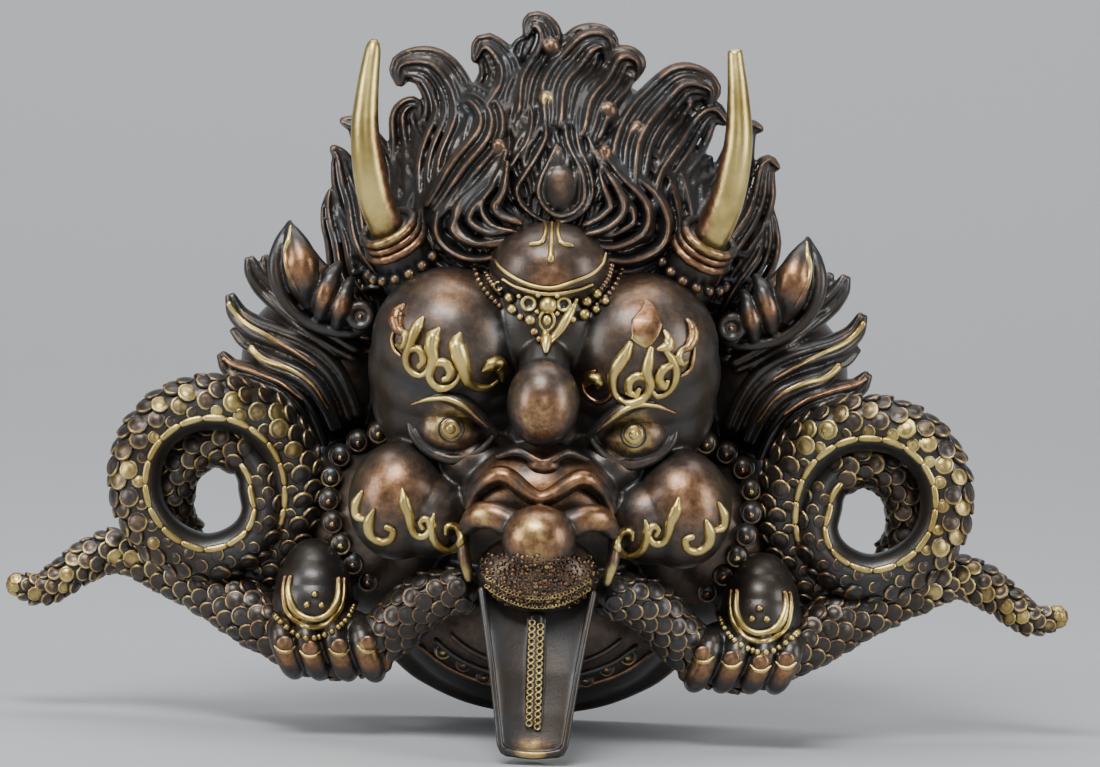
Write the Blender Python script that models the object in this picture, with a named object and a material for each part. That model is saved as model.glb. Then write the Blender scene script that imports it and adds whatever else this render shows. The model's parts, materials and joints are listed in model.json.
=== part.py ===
"""A horned guardian wall mask cast in one piece, with two horns set in sockets in its brow.

Metres, +Z up. The mask hangs on a wall behind it: its back is flat on the plane y = 0, it faces -Y,
and the origin is the point of its flat back where the wall carries it.
"""

import math

import bmesh
import bpy
import numpy as np

# Driving dimensions, in metres.
MASK_WIDTH = 0.320
HORN_FOOT_RADIUS = 0.0053
HORN_CLEARANCE = 0.0003
COLLAR_WALL = 0.0030
COLLAR_ROPE_RADIUS = 0.0018
SOCKET_DEPTH = 0.0090
HOLLOW_WIDTH = 0.078
HOLLOW_HEIGHT = 0.104
HOLLOW_DEPTH = 0.034

# The carving is laid out in units, of which the mask is UNITS_ACROSS wide. A place is given by its
# distance right of the centre line, its height on the front view above the tip of the beak, and how
# far it stands out from the wall. The front view is drawn from a little above, so what stands out
# further is drawn lower than it is by VIEW_RISE of its distance from the wall.
UNITS_ACROSS = 1058.0
UNIT = MASK_WIDTH / UNITS_ACROSS
VIEW_RISE = math.tan(math.radians(7))
ORIGIN_HIGH = 600.0
FRONT = np.array([0.0, -1.0, 0.0])
BOTH_SIDES = (-1, 1)

# How finely the fused casting is meshed.
CAST_GRAIN = 4.4
CAST_KEPT_SHARE = 0.0324
HORN_SIDES = 12

# Colours of the metals, linear.
PATINA = (0.105, 0.090, 0.072, 1.0)
HORN_BRASS = (0.62, 0.50, 0.24, 1.0)


def spot(x, high, out):
    """A place on the mask in units: right of the centre line, up, and out from the wall as -Y."""
    return np.array([x, -out, high + VIEW_RISE * out], float)


def metres(points):
    """Points in units turned to metres from the origin on the back."""
    return (np.asarray(points, float) - [0.0, 0.0, ORIGIN_HIGH]) * UNIT


class Clay:
    """Closed shapes gathered before they are fused into one casting."""

    def __init__(self):
        self.points = []
        self.faces = []

    def add(self, points, faces):
        first = len(self.points)
        self.points.extend(map(tuple, points))
        self.faces.extend(tuple(first + corner for corner in face) for face in faces)

    def mesh(self, name):
        mesh = bpy.data.meshes.new(name)
        mesh.from_pydata(metres(self.points).tolist(), [], self.faces)
        mesh.validate()
        return mesh


def ring_faces(rings, sides):
    """Faces of a closed bar: rings of points 0.., then its first pole and its last pole."""
    faces = []
    for ring in range(rings - 1):
        for side in range(sides):
            a = ring * sides + side
            b = ring * sides + (side + 1) % sides
            faces.append((a, a + sides, b + sides, b))
    first_pole = rings * sides
    last = (rings - 1) * sides
    for side in range(sides):
        after = (side + 1) % sides
        faces.append((first_pole, side, after))
        faces.append((first_pole + 1, last + after, last + side))
    return faces


def blob(clay, middle, size, turn=0.0, sides=14, rings=9):
    """An ellipsoid with half-axes size = (across, up, out), turned in the front view by turn degrees."""
    across, up, out = size
    polar = math.pi * np.arange(1, rings + 1) / (rings + 1)
    around = 2 * math.pi * np.arange(sides) / sides
    ring, side = np.meshgrid(polar, around, indexing="ij")
    local = np.stack([np.sin(ring) * np.sin(side) * across,
                      np.sin(ring) * np.cos(side) * out,
                      -np.cos(ring) * up], axis=-1).reshape(-1, 3)
    local = np.vstack([local, [[0, 0, -up], [0, 0, up]]])
    angle = math.radians(turn)
    x = local[:, 0] * math.cos(angle) - local[:, 2] * math.sin(angle)
    z = local[:, 0] * math.sin(angle) + local[:, 2] * math.cos(angle)
    points = np.column_stack([x, local[:, 1], z]) + middle
    clay.add(points, ring_faces(rings, sides))


def smooth_route(keys, steps):
    """Points evenly spread along a smooth curve through the key points."""
    keys = np.asarray(keys, float)
    padded = np.vstack([2 * keys[0] - keys[1], keys, 2 * keys[-1] - keys[-2]])
    fine = []
    for a, b, c, d in zip(padded[:-3], padded[1:-2], padded[2:-1], padded[3:]):
        for t in np.linspace(0, 1, 12, endpoint=False):
            fine.append(0.5 * (2 * b + (c - a) * t + (2 * a - 5 * b + 4 * c - d) * t ** 2
                               + (3 * b - a - 3 * c + d) * t ** 3))
    fine = np.vstack([fine, keys[-1]])
    run = np.concatenate([[0], np.cumsum(np.linalg.norm(np.diff(fine, axis=0), axis=1))])
    wanted = np.linspace(0, run[-1], steps)
    return np.column_stack([np.interp(wanted, run, fine[:, axis]) for axis in range(3)])


def bar(clay, route, radii, flat=1.0, sides=8, facing=FRONT, closed_round=True):
    """A bar along a route. radii run from its start to its end; flat thins it towards its facing side."""
    route = np.asarray(route, float)
    steps = len(route)
    radius = np.interp(np.linspace(0, 1, steps), np.linspace(0, 1, len(radii)), radii)
    along = np.gradient(route, axis=0)
    along /= np.linalg.norm(along, axis=1)[:, None] + 1e-9
    if closed_round:
        caps = ((0.95, 0.35), (0.6, 0.8))
        front = [(route[0] - along[0] * radius[0] * far * flat, radius[0] * wide) for far, wide in caps]
        back = [(route[-1] + along[-1] * radius[-1] * far * flat, radius[-1] * wide) for far, wide in caps]
        centres = np.vstack([[p for p, _ in front], route, [p for p, _ in reversed(back)]])
        radius = np.concatenate([[w for _, w in front], radius, [w for _, w in reversed(back)]])
        along = np.vstack([along[:1], along[:1], along, along[-1:], along[-1:]])
    else:
        centres = route
    poles = [centres[0] - along[0] * 0.01, centres[-1] + along[-1] * 0.01]
    around = 2 * math.pi * np.arange(sides) / sides
    points = []
    normal = np.asarray(facing, float)
    for centre, direction, wide in zip(centres, along, radius):
        lifted = np.asarray(facing, float) - np.dot(facing, direction) * direction
        if np.linalg.norm(lifted) < 0.25:
            lifted = normal - np.dot(normal, direction) * direction
        normal = lifted / np.linalg.norm(lifted)
        across = np.cross(direction, normal)
        for angle in around:
            points.append(centre + wide * (math.cos(angle) * across + math.sin(angle) * flat * normal))
    clay.add(points + poles, ring_faces(len(centres), sides))


def curl_route(middle, big, small, start, turns, steps=14):
    """A flat spiral seen from the front, from radius big to small; start in degrees, turns signed."""
    share = np.linspace(0, 1, steps)
    angle = math.radians(start) + 2 * math.pi * turns * share
    radius = big + (small - big) * share
    return middle + np.column_stack([radius * np.cos(angle), 0 * share, radius * np.sin(angle)])


# Swells under the carving: middle (x, high, out) and half-axes (across, up, out).
SWELLS = (
    ((2, 500, 0), (178, 190, 166)),
    ((-168, 490, 0), (48, 92, 84)),
    ((168, 490, 0), (48, 92, 84)),
    ((-220, 385, 0), (84, 80, 84)),
    ((220, 385, 0), (84, 80, 84)),
    ((0, 335, 0), (182, 180, 185)),
    ((-165, 225, 0), (90, 98, 132)),
    ((165, 225, 0), (90, 98, 132)),
    ((0, 150, 0), (160, 106, 136)),
)


def ground(x, high):
    """How far out from the wall the swells reach at a place on the front view."""
    reach = 34.0
    for (cx, ch, co), (across, up, out) in SWELLS:
        inside = 1 - ((x - cx) / across) ** 2 - ((high - ch) / up) ** 2
        if inside > 0:
            reach = max(reach, co + out * math.sqrt(inside))
    return reach


# A lock's strands: their pitch across it, the steps along them, and its width by share of its length.
STRAND_PITCH = 14.0
LOCK_STEPS = 18
LOCK_TAPER = ((0.0, 0.70), (0.25, 0.95), (0.5, 1.0), (0.75, 0.80), (0.9, 0.52), (1.0, 0.30))


def lock(clay, keys, width, lift):
    """A lock of hair: strands side by side that follow a smooth line through (x, high) keys and meet at its tip."""
    line = smooth_route([(x, 0.0, high) for x, high in keys], LOCK_STEPS)[:, [0, 2]]
    heading = np.gradient(line, axis=0)
    heading /= np.linalg.norm(heading, axis=1)[:, None]
    sideways = np.column_stack([-heading[:, 1], heading[:, 0]])
    taper = np.interp(np.linspace(0, 1, LOCK_STEPS), *zip(*LOCK_TAPER))
    strands = max(2, int(round(width / STRAND_PITCH)))
    for place in np.linspace(-1, 1, strands):
        apart = place * (width / 2) * (1 - 0.5 / strands) * taper
        flat_line = line + apart[:, None] * sideways
        out = np.array([ground(x, high) for x, high in flat_line])
        out = np.convolve(np.pad(out, 2, mode="edge"), np.ones(5) / 5, mode="valid")
        out += lift + (1 - place ** 2) * width * 0.20 * taper
        route = [spot(x, high, far) for (x, high), far in zip(flat_line, out)]
        bar(clay, route, width / strands * 0.62 * np.maximum(taper, 0.42), flat=1.3, sides=6)


# Locks of the crown, clockwise from the viewer's left: keys (x, high) from root to tip, width, lift.
CROWN = (
    (((-172, 436), (-198, 478), (-214, 520), (-219, 556)), 34, 4),
    (((-158, 466), (-186, 516), (-203, 560), (-209, 590), (-217, 600)), 36, 6),
    (((-140, 500), (-162, 552), (-180, 594), (-193, 622), (-208, 628)), 36, 5),
    (((-136, 520), (-140, 570), (-148, 606), (-150, 636), (-138, 646), (-133, 634)), 30, 6),
    (((-118, 530), (-112, 590), (-104, 640), (-122, 680), (-150, 684), (-152, 668)), 54, 8),
    (((-116, 545), (-88, 585), (-70, 624), (-78, 650), (-99, 650), (-100, 638)), 42, 16),
    (((-84, 590), (-66, 640), (-56, 682), (-68, 706), (-78, 694)), 46, 8),
    (((-46, 630), (-42, 676), (-33, 708), (-26, 716)), 28, 8),
    (((-30, 640), (-20, 686), (-12, 720), (-21, 732), (-28, 720)), 34, 12),
    (((4, 630), (12, 678), (28, 708), (46, 714), (51, 700)), 58, 10),
    (((34, 620), (50, 662), (64, 696), (79, 696), (80, 680)), 38, 14),
    (((82, 560), (90, 615), (104, 652), (128, 677), (154, 672), (156, 660)), 52, 8),
    (((104, 530), (118, 585), (134, 625), (156, 648), (172, 640)), 42, 6),
    (((140, 500), (160, 552), (178, 596), (194, 632), (207, 634)), 36, 5),
    (((158, 466), (186, 516), (203, 562), (214, 598), (225, 596)), 36, 6),
    (((172, 436), (198, 478), (213, 520), (219, 556)), 34, 4),
)

# Locks over the forehead for the viewer's right, in the same columns.
FORELOCKS = (
    (((44, 507), (78, 503), (104, 516), (107, 536), (94, 559), (69, 582), (53, 602)), 24, 16),
    (((44, 516), (66, 515), (88, 528), (87, 549), (66, 573), (52, 599)), 20, 22),
    (((38, 526), (56, 533), (66, 547), (59, 565), (50, 588)), 18, 26),
    (((118, 500), (132, 536), (116, 578), (96, 612), (98, 636)), 30, 11),
    (((24, 560), (30, 600), (18, 636), (24, 668)), 26, 12),
    (((136, 490), (152, 530), (148, 570), (158, 602)), 26, 9),
)
PARTING = 3.0

# Flames at each side of the head, given for the viewer's right: the same columns.
FLANK = (
    (((206, 424), (228, 432), (252, 450), (271, 468), (282, 489)), 20, 3),
    (((190, 396), (206, 404), (232, 420), (256, 438), (277, 456), (291, 472), (297, 486)), 26, 6),
    (((190, 336), (198, 356), (211, 378), (234, 397), (263, 409), (289, 418), (307, 431), (315, 448)), 26, 8),
    (((206, 334), (222, 368), (244, 387), (269, 397), (296, 402), (312, 415)), 17, 5),
    (((206, 322), (216, 344), (232, 365), (253, 377), (275, 385), (291, 397)), 19, 13),
    (((222, 306), (231, 328), (243, 346), (262, 361), (288, 371), (311, 376), (322, 389)), 26, 9),
)
BLADE_TAPER = ((0.0, 0.75), (0.4, 1.0), (0.8, 0.95), (0.93, 0.72), (1.0, 0.45))


def blade(clay, keys, width, lift):
    """One flat flame along a smooth line through (x, high) keys."""
    line = smooth_route([(x, 0.0, high) for x, high in keys], LOCK_STEPS)[:, [0, 2]]
    taper = np.interp(np.linspace(0, 1, LOCK_STEPS), *zip(*BLADE_TAPER))
    out = np.array([ground(x, high) for x, high in line])
    out = np.convolve(np.pad(out, 3, mode="edge"), np.ones(7) / 7, mode="valid") + lift
    route = [spot(x, high, far) for (x, high), far in zip(line, out)]
    bar(clay, route, width / 2 * taper, flat=0.8, sides=8)


# Curled ends that stand forward among the locks: x, high, size.
KNOBS = ((-3, 709, 8), (-7, 655, 8), (55, 645, 9), (-52, 606, 7), (53, 604, 6), (84, 628, 8))


def crown(clay):
    for (cx, ch, co), size in SWELLS:
        blob(clay, spot(cx, ch, co), size, sides=28, rings=17)
    for row in CROWN:
        lock(clay, *row)
    for side in BOTH_SIDES:
        for keys, width, lift in FLANK:
            blade(clay, [(side * x, high) for x, high in keys], width, lift)
        for keys, width, lift in FORELOCKS:
            lock(clay, [(PARTING + side * (x - PARTING), high) for x, high in keys], width, lift)
    # The drop-shaped flame in the middle, with a ridge round it and one further out.
    for grow, wide in ((0.45, 9), (1.0, 5.5), (1.6, 5.0)):
        keys = [(5, 606), (5 - 17 * grow, 585 - 2 * grow), (5 - 24 * grow, 562 - 4 * grow),
                (5, 545 - 8 * grow), (5 + 24 * grow, 562 - 4 * grow), (5 + 17 * grow, 585 - 2 * grow),
                (5, 606 + 6 * grow)]
        route = [spot(x, high, ground(x, high) + 15 - 4 * grow) for x, high in keys]
        bar(clay, smooth_route(route, 22), (4, wide, wide, wide, 4), sides=6)
    for x, high, size in KNOBS:
        far = ground(x, high)
        route = [spot(x + 8, high - 34, far), spot(x + 5, high - 16, far + 10), spot(x, high, far + 24)]
        bar(clay, smooth_route(route, 6), (size * 0.8, size, size), sides=8, facing=(1, 0, 0))


def ear(clay, side):
    def at(x, high, out):
        return spot(side * x, high, out)

    bar(clay, smooth_route([at(190, 430, 92), at(218, 442, 94), at(242, 464, 94), at(253, 504, 88)], 12),
        (16, 28, 32, 14), flat=0.5, sides=12)
    rim = [at(170, 422, 104), at(198, 416, 110), at(224, 420, 112), at(247, 434, 114), at(264, 454, 116),
           at(270, 482, 114), at(266, 503, 108), at(256, 525, 98)]
    bar(clay, smooth_route(rim, 18), (5, 7, 8, 7.5, 6.5, 3), sides=8)
    petal = [at(236, 446, 112), at(242, 466, 118), at(246, 490, 116), at(252, 512, 108), at(256, 522, 102)]
    bar(clay, smooth_route(petal, 10), (10, 16, 17, 9, 4), sides=10)
    for fold, radii in (((at(207, 484, 106), at(213, 472, 116), at(219, 455, 120), at(224, 434, 114)),
                         (4, 9, 10, 7)),
                        ((at(195, 468, 106), at(199, 458, 115), at(203, 442, 119), at(207, 425, 113)),
                         (4, 8, 9, 6.5))):
        bar(clay, smooth_route(fold, 8), radii, sides=8)
    blob(clay, at(184, 434, 112), (13, 13, 16))


def horn_frame(side):
    """The horn's line in units, from the floor of its socket to its tip, and its direction at the foot."""
    keys = [spot(side * x, high, out) for x, high, out in
            ((146, 500, 132), (160, 522, 143), (175, 560, 156), (184, 613, 164), (183, 659, 160),
             (178, 708, 150))]
    route = smooth_route(keys, 18)
    along = route[3] - route[0]
    return route, along / np.linalg.norm(along)


def horn_radii():
    foot = HORN_FOOT_RADIUS / UNIT
    return [foot, foot, foot * 0.97, foot * 0.88, foot * 0.74, foot * 0.58, foot * 0.42]


def collar(clay, side):
    """The boss and two rope rings that the horn stands in, with a row of beads below."""
    route, along = horn_frame(side)
    mouth = route[0] + along * SOCKET_DEPTH / UNIT
    wide = (HORN_FOOT_RADIUS + COLLAR_WALL) / UNIT
    bar(clay, [mouth - along * (SOCKET_DEPTH / UNIT + 34), mouth - along * 20, mouth - along * 1.5],
        (wide * 1.25, wide * 1.1, wide * 0.97), sides=14, closed_round=False)
    across = np.cross(along, FRONT)
    across /= np.linalg.norm(across)
    ahead = np.cross(across, along)
    rope = COLLAR_ROPE_RADIUS / UNIT
    for down, grow in ((3, 1.0), (17, 1.06)):
        angle = np.linspace(0, 2 * math.pi, 21)[:, None]
        loop = mouth - along * down + wide * grow * (np.cos(angle) * across + np.sin(angle) * ahead)
        bar(clay, loop, (rope, rope), sides=6, facing=along)
    for bead in range(5):
        x = 156 - 11.3 * bead
        high = 475 + 7 * bead
        blob(clay, spot(side * x, high, ground(x, high) + 8), (6, 6, 6), sides=8, rings=5)


def forehead(clay):
    """The dome between the brows with its three-pronged mark, the jewelled band and its drop."""
    blob(clay, spot(3, 487, 172), (61, 47, 60), sides=20, rings=13)
    for prong in BOTH_SIDES:
        route = [spot(3 + prong * 9, 531, 212), spot(3 + prong * 7, 515, 224), spot(3 + prong * 20, 512, 223)]
        bar(clay, smooth_route(route, 8), (2.5, 3, 2.5), sides=6)
    bar(clay, [spot(3, 528, 214), spot(3, 510, 228), spot(3, 494, 236)], (2.5, 3, 4), sides=6)
    for high, reach, out in ((0, 62, 236), (-10, 66, 236)):
        keys = [spot(2 + reach * x, 496 + high - 37 * (1 - x * x), out - 50 * x * x)
                for x in (-1, -0.75, -0.4, 0, 0.4, 0.75, 1)]
        bar(clay, smooth_route(keys, 18), (4, 4.5, 4), sides=6)
    for row, (size, drop) in enumerate(((8, 18), (9, 34), (8, 52))):
        count = 5 - 2 * row
        for bead in range(count):
            x = (bead - (count - 1) / 2) * 19
            blob(clay, spot(2 + x, 459 - drop + abs(x) * 0.22, 238 - abs(x) * 0.25), (size, size, 7),
                 sides=8, rings=5)
    for side in BOTH_SIDES:
        for bead in range(6):
            share = bead / 5
            blob(clay, spot(2 + side * (78 - 26 * share), 500 - 42 * share, 196 + 30 * share), (7, 7, 7),
                 sides=8, rings=5)


def brow_and_eye(clay, side):
    def at(x, high, out):
        return spot(side * x, high, out)

    blob(clay, at(93, 409, 160), (79, 76, 78), sides=24, rings=15)
    blob(clay, at(93, 386, 151), (82, 78, 76), sides=24, rings=15)
    blob(clay, at(92, 360, 140), (80, 76, 74), sides=24, rings=15)
    blob(clay, at(62, 292, 176), (42, 34, 46))
    # Brow flames: each a leaf that rises from a curl.
    for x, high, tip_x, tip_high, turns in ((143, 408, 143, 447, 1), (126, 392, 118, 434, 1),
                                            (97, 380, 104, 424, 1), (62, 378, 84, 419, -1)):
        far = 160 + 78 * math.sqrt(max(0.05, 1 - ((x - 93) / 80) ** 2 - ((high - 413) / 82) ** 2))
        spin = -side * turns
        bar(clay, curl_route(at(x, high, far + 2), 13, 4, 90 - side * turns * 80, spin * 1.1), (4, 4, 3),
            sides=6)
        up = 160 + 78 * math.sqrt(max(0.05, 1 - ((tip_x - 93) / 80) ** 2 - ((tip_high - 413) / 82) ** 2))
        keys = [at(x + turns * 12, high + 1, far + 2), at((x + tip_x) / 2 + turns * 9, high + 18, up + 4),
                at(tip_x, tip_high, up + 1)]
        bar(clay, smooth_route(keys, 8), (4, 7, 7, 2.5), sides=6)
    blob(clay, at(88, 322, 186), (30, 24, 34), sides=16, rings=11)
    blob(clay, at(87, 321, 217), (11, 11, 7), sides=10, rings=7)
    lid = [at(132, 336, 192), at(118, 348, 208), at(92, 352, 220), at(70, 342, 224), at(54, 324, 220)]
    bar(clay, smooth_route(lid, 12), (3, 6, 7, 6, 3), sides=6)
    under = [at(134, 330, 188), at(122, 302, 198), at(98, 288, 206), at(70, 292, 214), at(54, 308, 216)]
    bar(clay, smooth_route(under, 12), (4, 6, 6, 4), sides=6)


def cheek(clay, side):
    def at(x, high, out):
        return spot(side * x, high, out)

    def skin(x, high):
        return 186 + 52 * math.sqrt(max(0.04, 1 - ((x - 140) / 50) ** 2 - ((high - 250) / 60) ** 2))

    blob(clay, at(140, 250, 186), (50, 59, 52), sides=20, rings=13)
    blob(clay, at(108, 238, 188), (44, 44, 46), sides=16, rings=11)
    for x, high, big, turns in ((114, 226, 12, 1), (90, 216, 14, 1)):
        far = max(skin(x, high), 222) + 2
        bar(clay, curl_route(at(x, high, far), big, 4, 90 - side * 90, -side * 1.2 * turns), (4, 4, 3),
            sides=6)
    leaf = [at(126, 214, skin(126, 214) + 2), at(130, 234, skin(130, 234) + 2), at(134, 256, 240)]
    bar(clay, smooth_route(leaf, 7), (3, 8, 3), sides=6)
    lower = [at(146, 206, skin(146, 206) + 2), at(158, 216, skin(158, 216) + 2), at(166, 236, 214)]
    bar(clay, smooth_route(lower, 7), (5, 6, 3), sides=6)
    # A chain of curled balls round the back of the cheek.
    for x, high in ((159, 319), (181, 310), (200, 294), (209, 267), (208, 237), (198, 208), (181, 182),
                    (164, 164)):
        blob(clay, at(x, high, ground(x, high) + 5), (12, 12, 13), sides=10, rings=7)


def muzzle(clay):
    """The root of the nose, its wrinkles, the bulb and wings, and the mouth under it."""
    blob(clay, spot(0, 425, 178), (62, 54, 47), sides=20, rings=13)
    bar(clay, [spot(0, 356, 240), spot(0, 384, 224), spot(0, 412, 206)], (26, 26, 20), sides=12)
    blob(clay, spot(0, 352, 244), (35, 43, 38), sides=18, rings=11)
    blob(clay, spot(0, 262, 205), (78, 50, 62), sides=20, rings=13)
    blob(clay, spot(2, 288, 244), (18, 13, 16), sides=10, rings=7)
    ridge = [spot(x, high, 270 - far) for x, high, far in
             ((-70, 248, 30), (-58, 268, 14), (-36, 279, 2), (0, 257, 0), (38, 278, 2), (58, 268, 14),
              (70, 248, 30))]
    bar(clay, smooth_route(ridge, 20), (6, 10, 9, 10, 6), sides=8)
    blob(clay, spot(0, 218, 296), (37, 33, 36), sides=18, rings=11)
    for side in BOTH_SIDES:
        wing = [spot(side * 14, 224, 292), spot(side * 42, 238, 286), spot(side * 60, 238, 276),
                spot(side * 71, 227, 262)]
        bar(clay, smooth_route(wing, 10), (15, 14, 14, 9), sides=10)
        lip = [spot(side * 72, 226, 250), spot(side * 73, 200, 258), spot(side * 67, 172, 262)]
        bar(clay, smooth_route(lip, 8), (6, 7.5, 4), sides=8)
    blob(clay, spot(0, 184, 248), (60, 40, 46), sides=20, rings=13)


# The beak's trough from its head to its tip: share of the way, half width, rim out from the wall.
BEAK_HIGH = 166.0
BEAK_STATIONS = ((0.0, 57, 262), (0.25, 50, 282), (0.5, 43, 300), (0.75, 37, 314), (0.93, 33, 322),
                 (1.0, 27, 322))
BEAK_HOLLOW = 15.0
BEAK_WALL = 13.0
BEAK_SIDES = 20


def beak(clay):
    """A long trough, hollow at the front, with raised rims and a low ridge down its middle."""
    shares, half_widths, rims = zip(*BEAK_STATIONS)
    points = []
    stations = 14
    for share in np.linspace(0, 1, stations):
        half = np.interp(share, shares, half_widths)
        rim = np.interp(share, shares, rims)
        hollow = BEAK_HOLLOW * (1 - 0.75 * share ** 4)
        back = hollow + BEAK_WALL
        for side in range(BEAK_SIDES):
            angle = math.pi * side / (BEAK_SIDES / 2)
            x = half * math.cos(angle)
            if side <= BEAK_SIDES // 2:
                out = rim - hollow * math.sin(angle) ** 0.8
            else:
                out = rim - 3 - back * abs(math.sin(angle)) ** 0.7
            points.append(spot(x, BEAK_HIGH * (1 - share) + 2, out))
    top = np.mean(points[:BEAK_SIDES], axis=0)
    low = np.mean(points[-BEAK_SIDES:], axis=0) - [0, 0, 3]
    clay.add(points + [top, low], ring_faces(stations, BEAK_SIDES))
    ridge = [spot(0, 140, 262), spot(0, 90, 284), spot(0, 34, 307)]
    bar(clay, smooth_route(ridge, 8), (8, 8, 7), flat=0.6, sides=8)
    for side in BOTH_SIDES:
        edge = [spot(side * np.interp(s, shares, half_widths) * 0.97, BEAK_HIGH * (1 - s) + 2,
                     np.interp(s, shares, rims)) for s in np.linspace(0.04, 0.97, 9)]
        bar(clay, edge, (5, 4.5, 4.5), sides=6)


# The serpent's coil by degrees round from its face side over the top: distance of the middle line
# from the coil's centre, the centre (x, high), how far it stands out, and the body's radius.
COIL = (
    (-85, 104, 330, 256, 70, 24),
    (-55, 98, 330, 260, 78, 24),
    (0, 86, 330, 266, 92, 27),
    (90, 74, 329, 266, 104, 27),
    (180, 73, 329, 266, 108, 27),
    (270, 78, 329, 264, 106, 25),
    (360, 45, 326, 252, 92, 23),
    (450, 50, 323, 252, 80, 23),
    (540, 46, 322, 248, 64, 21),
    (600, 50, 322, 246, 44, 17),
)

# The serpent's other run, from the mouth through the fist to its tail: x, high, out, radius.
TAIL_RUN = (
    (66, 166, 215, 20), (108, 154, 195, 24), (142, 122, 168, 24), (176, 98, 148, 23), (216, 96, 138, 23),
    (262, 118, 118, 25), (322, 152, 88, 27), (376, 176, 66, 25), (412, 190, 56, 23), (440, 184, 56, 21),
    (468, 166, 58, 18.5), (495, 148, 58, 15.5), (518, 152, 56, 11),
)


def serpent(clay, side):
    degrees, away, centre_x, centre_high, out, body = zip(*COIL)
    turn = np.linspace(degrees[0], degrees[-1], 72)
    distance, x, high, far, radii = (np.interp(turn, degrees, column)
                                     for column in (away, centre_x, centre_high, out, body))
    x = x - distance * np.cos(np.radians(turn))
    high = high + distance * np.sin(np.radians(turn))
    route = [spot(side * a, b, c) for a, b, c in zip(x, high, far)]
    bar(clay, smooth_route(route[::3], 60), radii, sides=12)
    run = [spot(side * a, b, c) for a, b, c, _ in TAIL_RUN]
    bar(clay, smooth_route(run, 60), [radius for _, _, _, radius in TAIL_RUN], sides=12)


def fist(clay, side):
    def at(x, high, out):
        return spot(side * x, high, out)

    blob(clay, at(222, 172, 124), (33, 37, 38), sides=16, rings=11)
    blob(clay, at(222, 146, 136), (40, 37, 44), sides=16, rings=11)
    blob(clay, at(212, 118, 150), (56, 26, 34), sides=16, rings=9)
    for grow, thick in ((0, 4.0), (7, 3.0)):
        cuff = [at(194 - grow, 180, 150), at(194 - grow, 156, 176), at(202 - grow, 134 - grow, 188),
                at(222, 124 - grow, 192), at(242 + grow, 134 - grow, 186), at(250 + grow, 156, 172),
                at(250 + grow, 180, 146)]
        bar(clay, smooth_route(cuff, 18), (thick, thick), sides=6)
    for x, high in ((222, 155), (214, 143), (230, 143)):
        blob(clay, at(x, high, 184), (4.5, 4.5, 5), sides=8, rings=5)
    for x in (252, 227, 199, 172):
        finger = [at(x + 1, 124, 158), at(x + 1, 112, 182), at(x - 3, 96, 188), at(x - 11, 80, 178),
                  at(x - 14, 76, 152)]
        bar(clay, smooth_route(finger, 12), (10, 13, 13, 12, 11), sides=8)
    thumb = [at(160, 128, 150), at(152, 106, 168), at(150, 86, 166)]
    bar(clay, smooth_route(thumb, 8), (11, 12, 9), sides=8)


def throat(clay):
    """Curled balls along the jaw and the smooth rim below them."""
    for side in BOTH_SIDES:
        for x, high in ((92, 101), (71, 88), (51, 75)):
            blob(clay, spot(side * x, high, ground(x, high) + 5), (11, 11, 12), sides=10, rings=7)
    rim = []
    for x in (-135, -110, -60, 0, 60, 110, 135):
        high = 150 - 98 * math.sqrt(1 - (x / 160) ** 2)
        rim.append(spot(x, high, 36))
    bar(clay, smooth_route(rim, 20), (12, 14, 15, 14, 12), sides=8)


def material(name, colour, roughness):
    made = bpy.data.materials.new(name)
    made.use_nodes = True
    shader = made.node_tree.nodes["Principled BSDF"]
    shader.inputs["Base Color"].default_value = colour
    shader.inputs["Metallic"].default_value = 1.0
    shader.inputs["Roughness"].default_value = roughness
    return made


def add_object(name, mesh):
    made = bpy.data.objects.new(name, mesh)
    bpy.context.scene.collection.objects.link(made)
    return made


def cutter(name, mesh):
    made = add_object(name, mesh)
    made.hide_render = True
    made.display_type = "WIRE"
    return made


def cut(target, tool):
    boolean = target.modifiers.new(tool.name, "BOOLEAN")
    boolean.operation = "DIFFERENCE"
    boolean.object = tool


def wall_block():
    """Everything behind the wall's plane."""
    mesh = bpy.data.meshes.new("behind_wall")
    shape = bmesh.new()
    bmesh.ops.create_cube(shape, size=1.0)
    depth = MASK_WIDTH / 2
    bmesh.ops.scale(shape, vec=(MASK_WIDTH * 2, depth, MASK_WIDTH * 2), verts=shape.verts)
    bmesh.ops.translate(shape, vec=(0, depth / 2, 0), verts=shape.verts)
    shape.to_mesh(mesh)
    shape.free()
    return mesh


HOLLOW_HIGH = 325.0


def hollow_dome():
    """The hollow of the back, behind the face."""
    mesh = bpy.data.meshes.new("back_hollow")
    shape = bmesh.new()
    bmesh.ops.create_uvsphere(shape, u_segments=24, v_segments=14, radius=1.0)
    bmesh.ops.scale(shape, vec=(HOLLOW_WIDTH / 2, HOLLOW_DEPTH, HOLLOW_HEIGHT / 2), verts=shape.verts)
    bmesh.ops.translate(shape, vec=(0, 0, (HOLLOW_HIGH - ORIGIN_HIGH) * UNIT), verts=shape.verts)
    shape.to_mesh(mesh)
    shape.free()
    return mesh


def horn_mesh(name, side, grow):
    """A horn's shape; grow, in metres, makes it larger all round, for the cut that it stands in."""
    clay = Clay()
    route, along = horn_frame(side)
    extra = grow / UNIT
    route = np.vstack([route[0] - along * extra, route[1:]])
    bar(clay, route, [radius + extra for radius in horn_radii()], sides=HORN_SIDES, closed_round=False)
    return clay.mesh(name)


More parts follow.
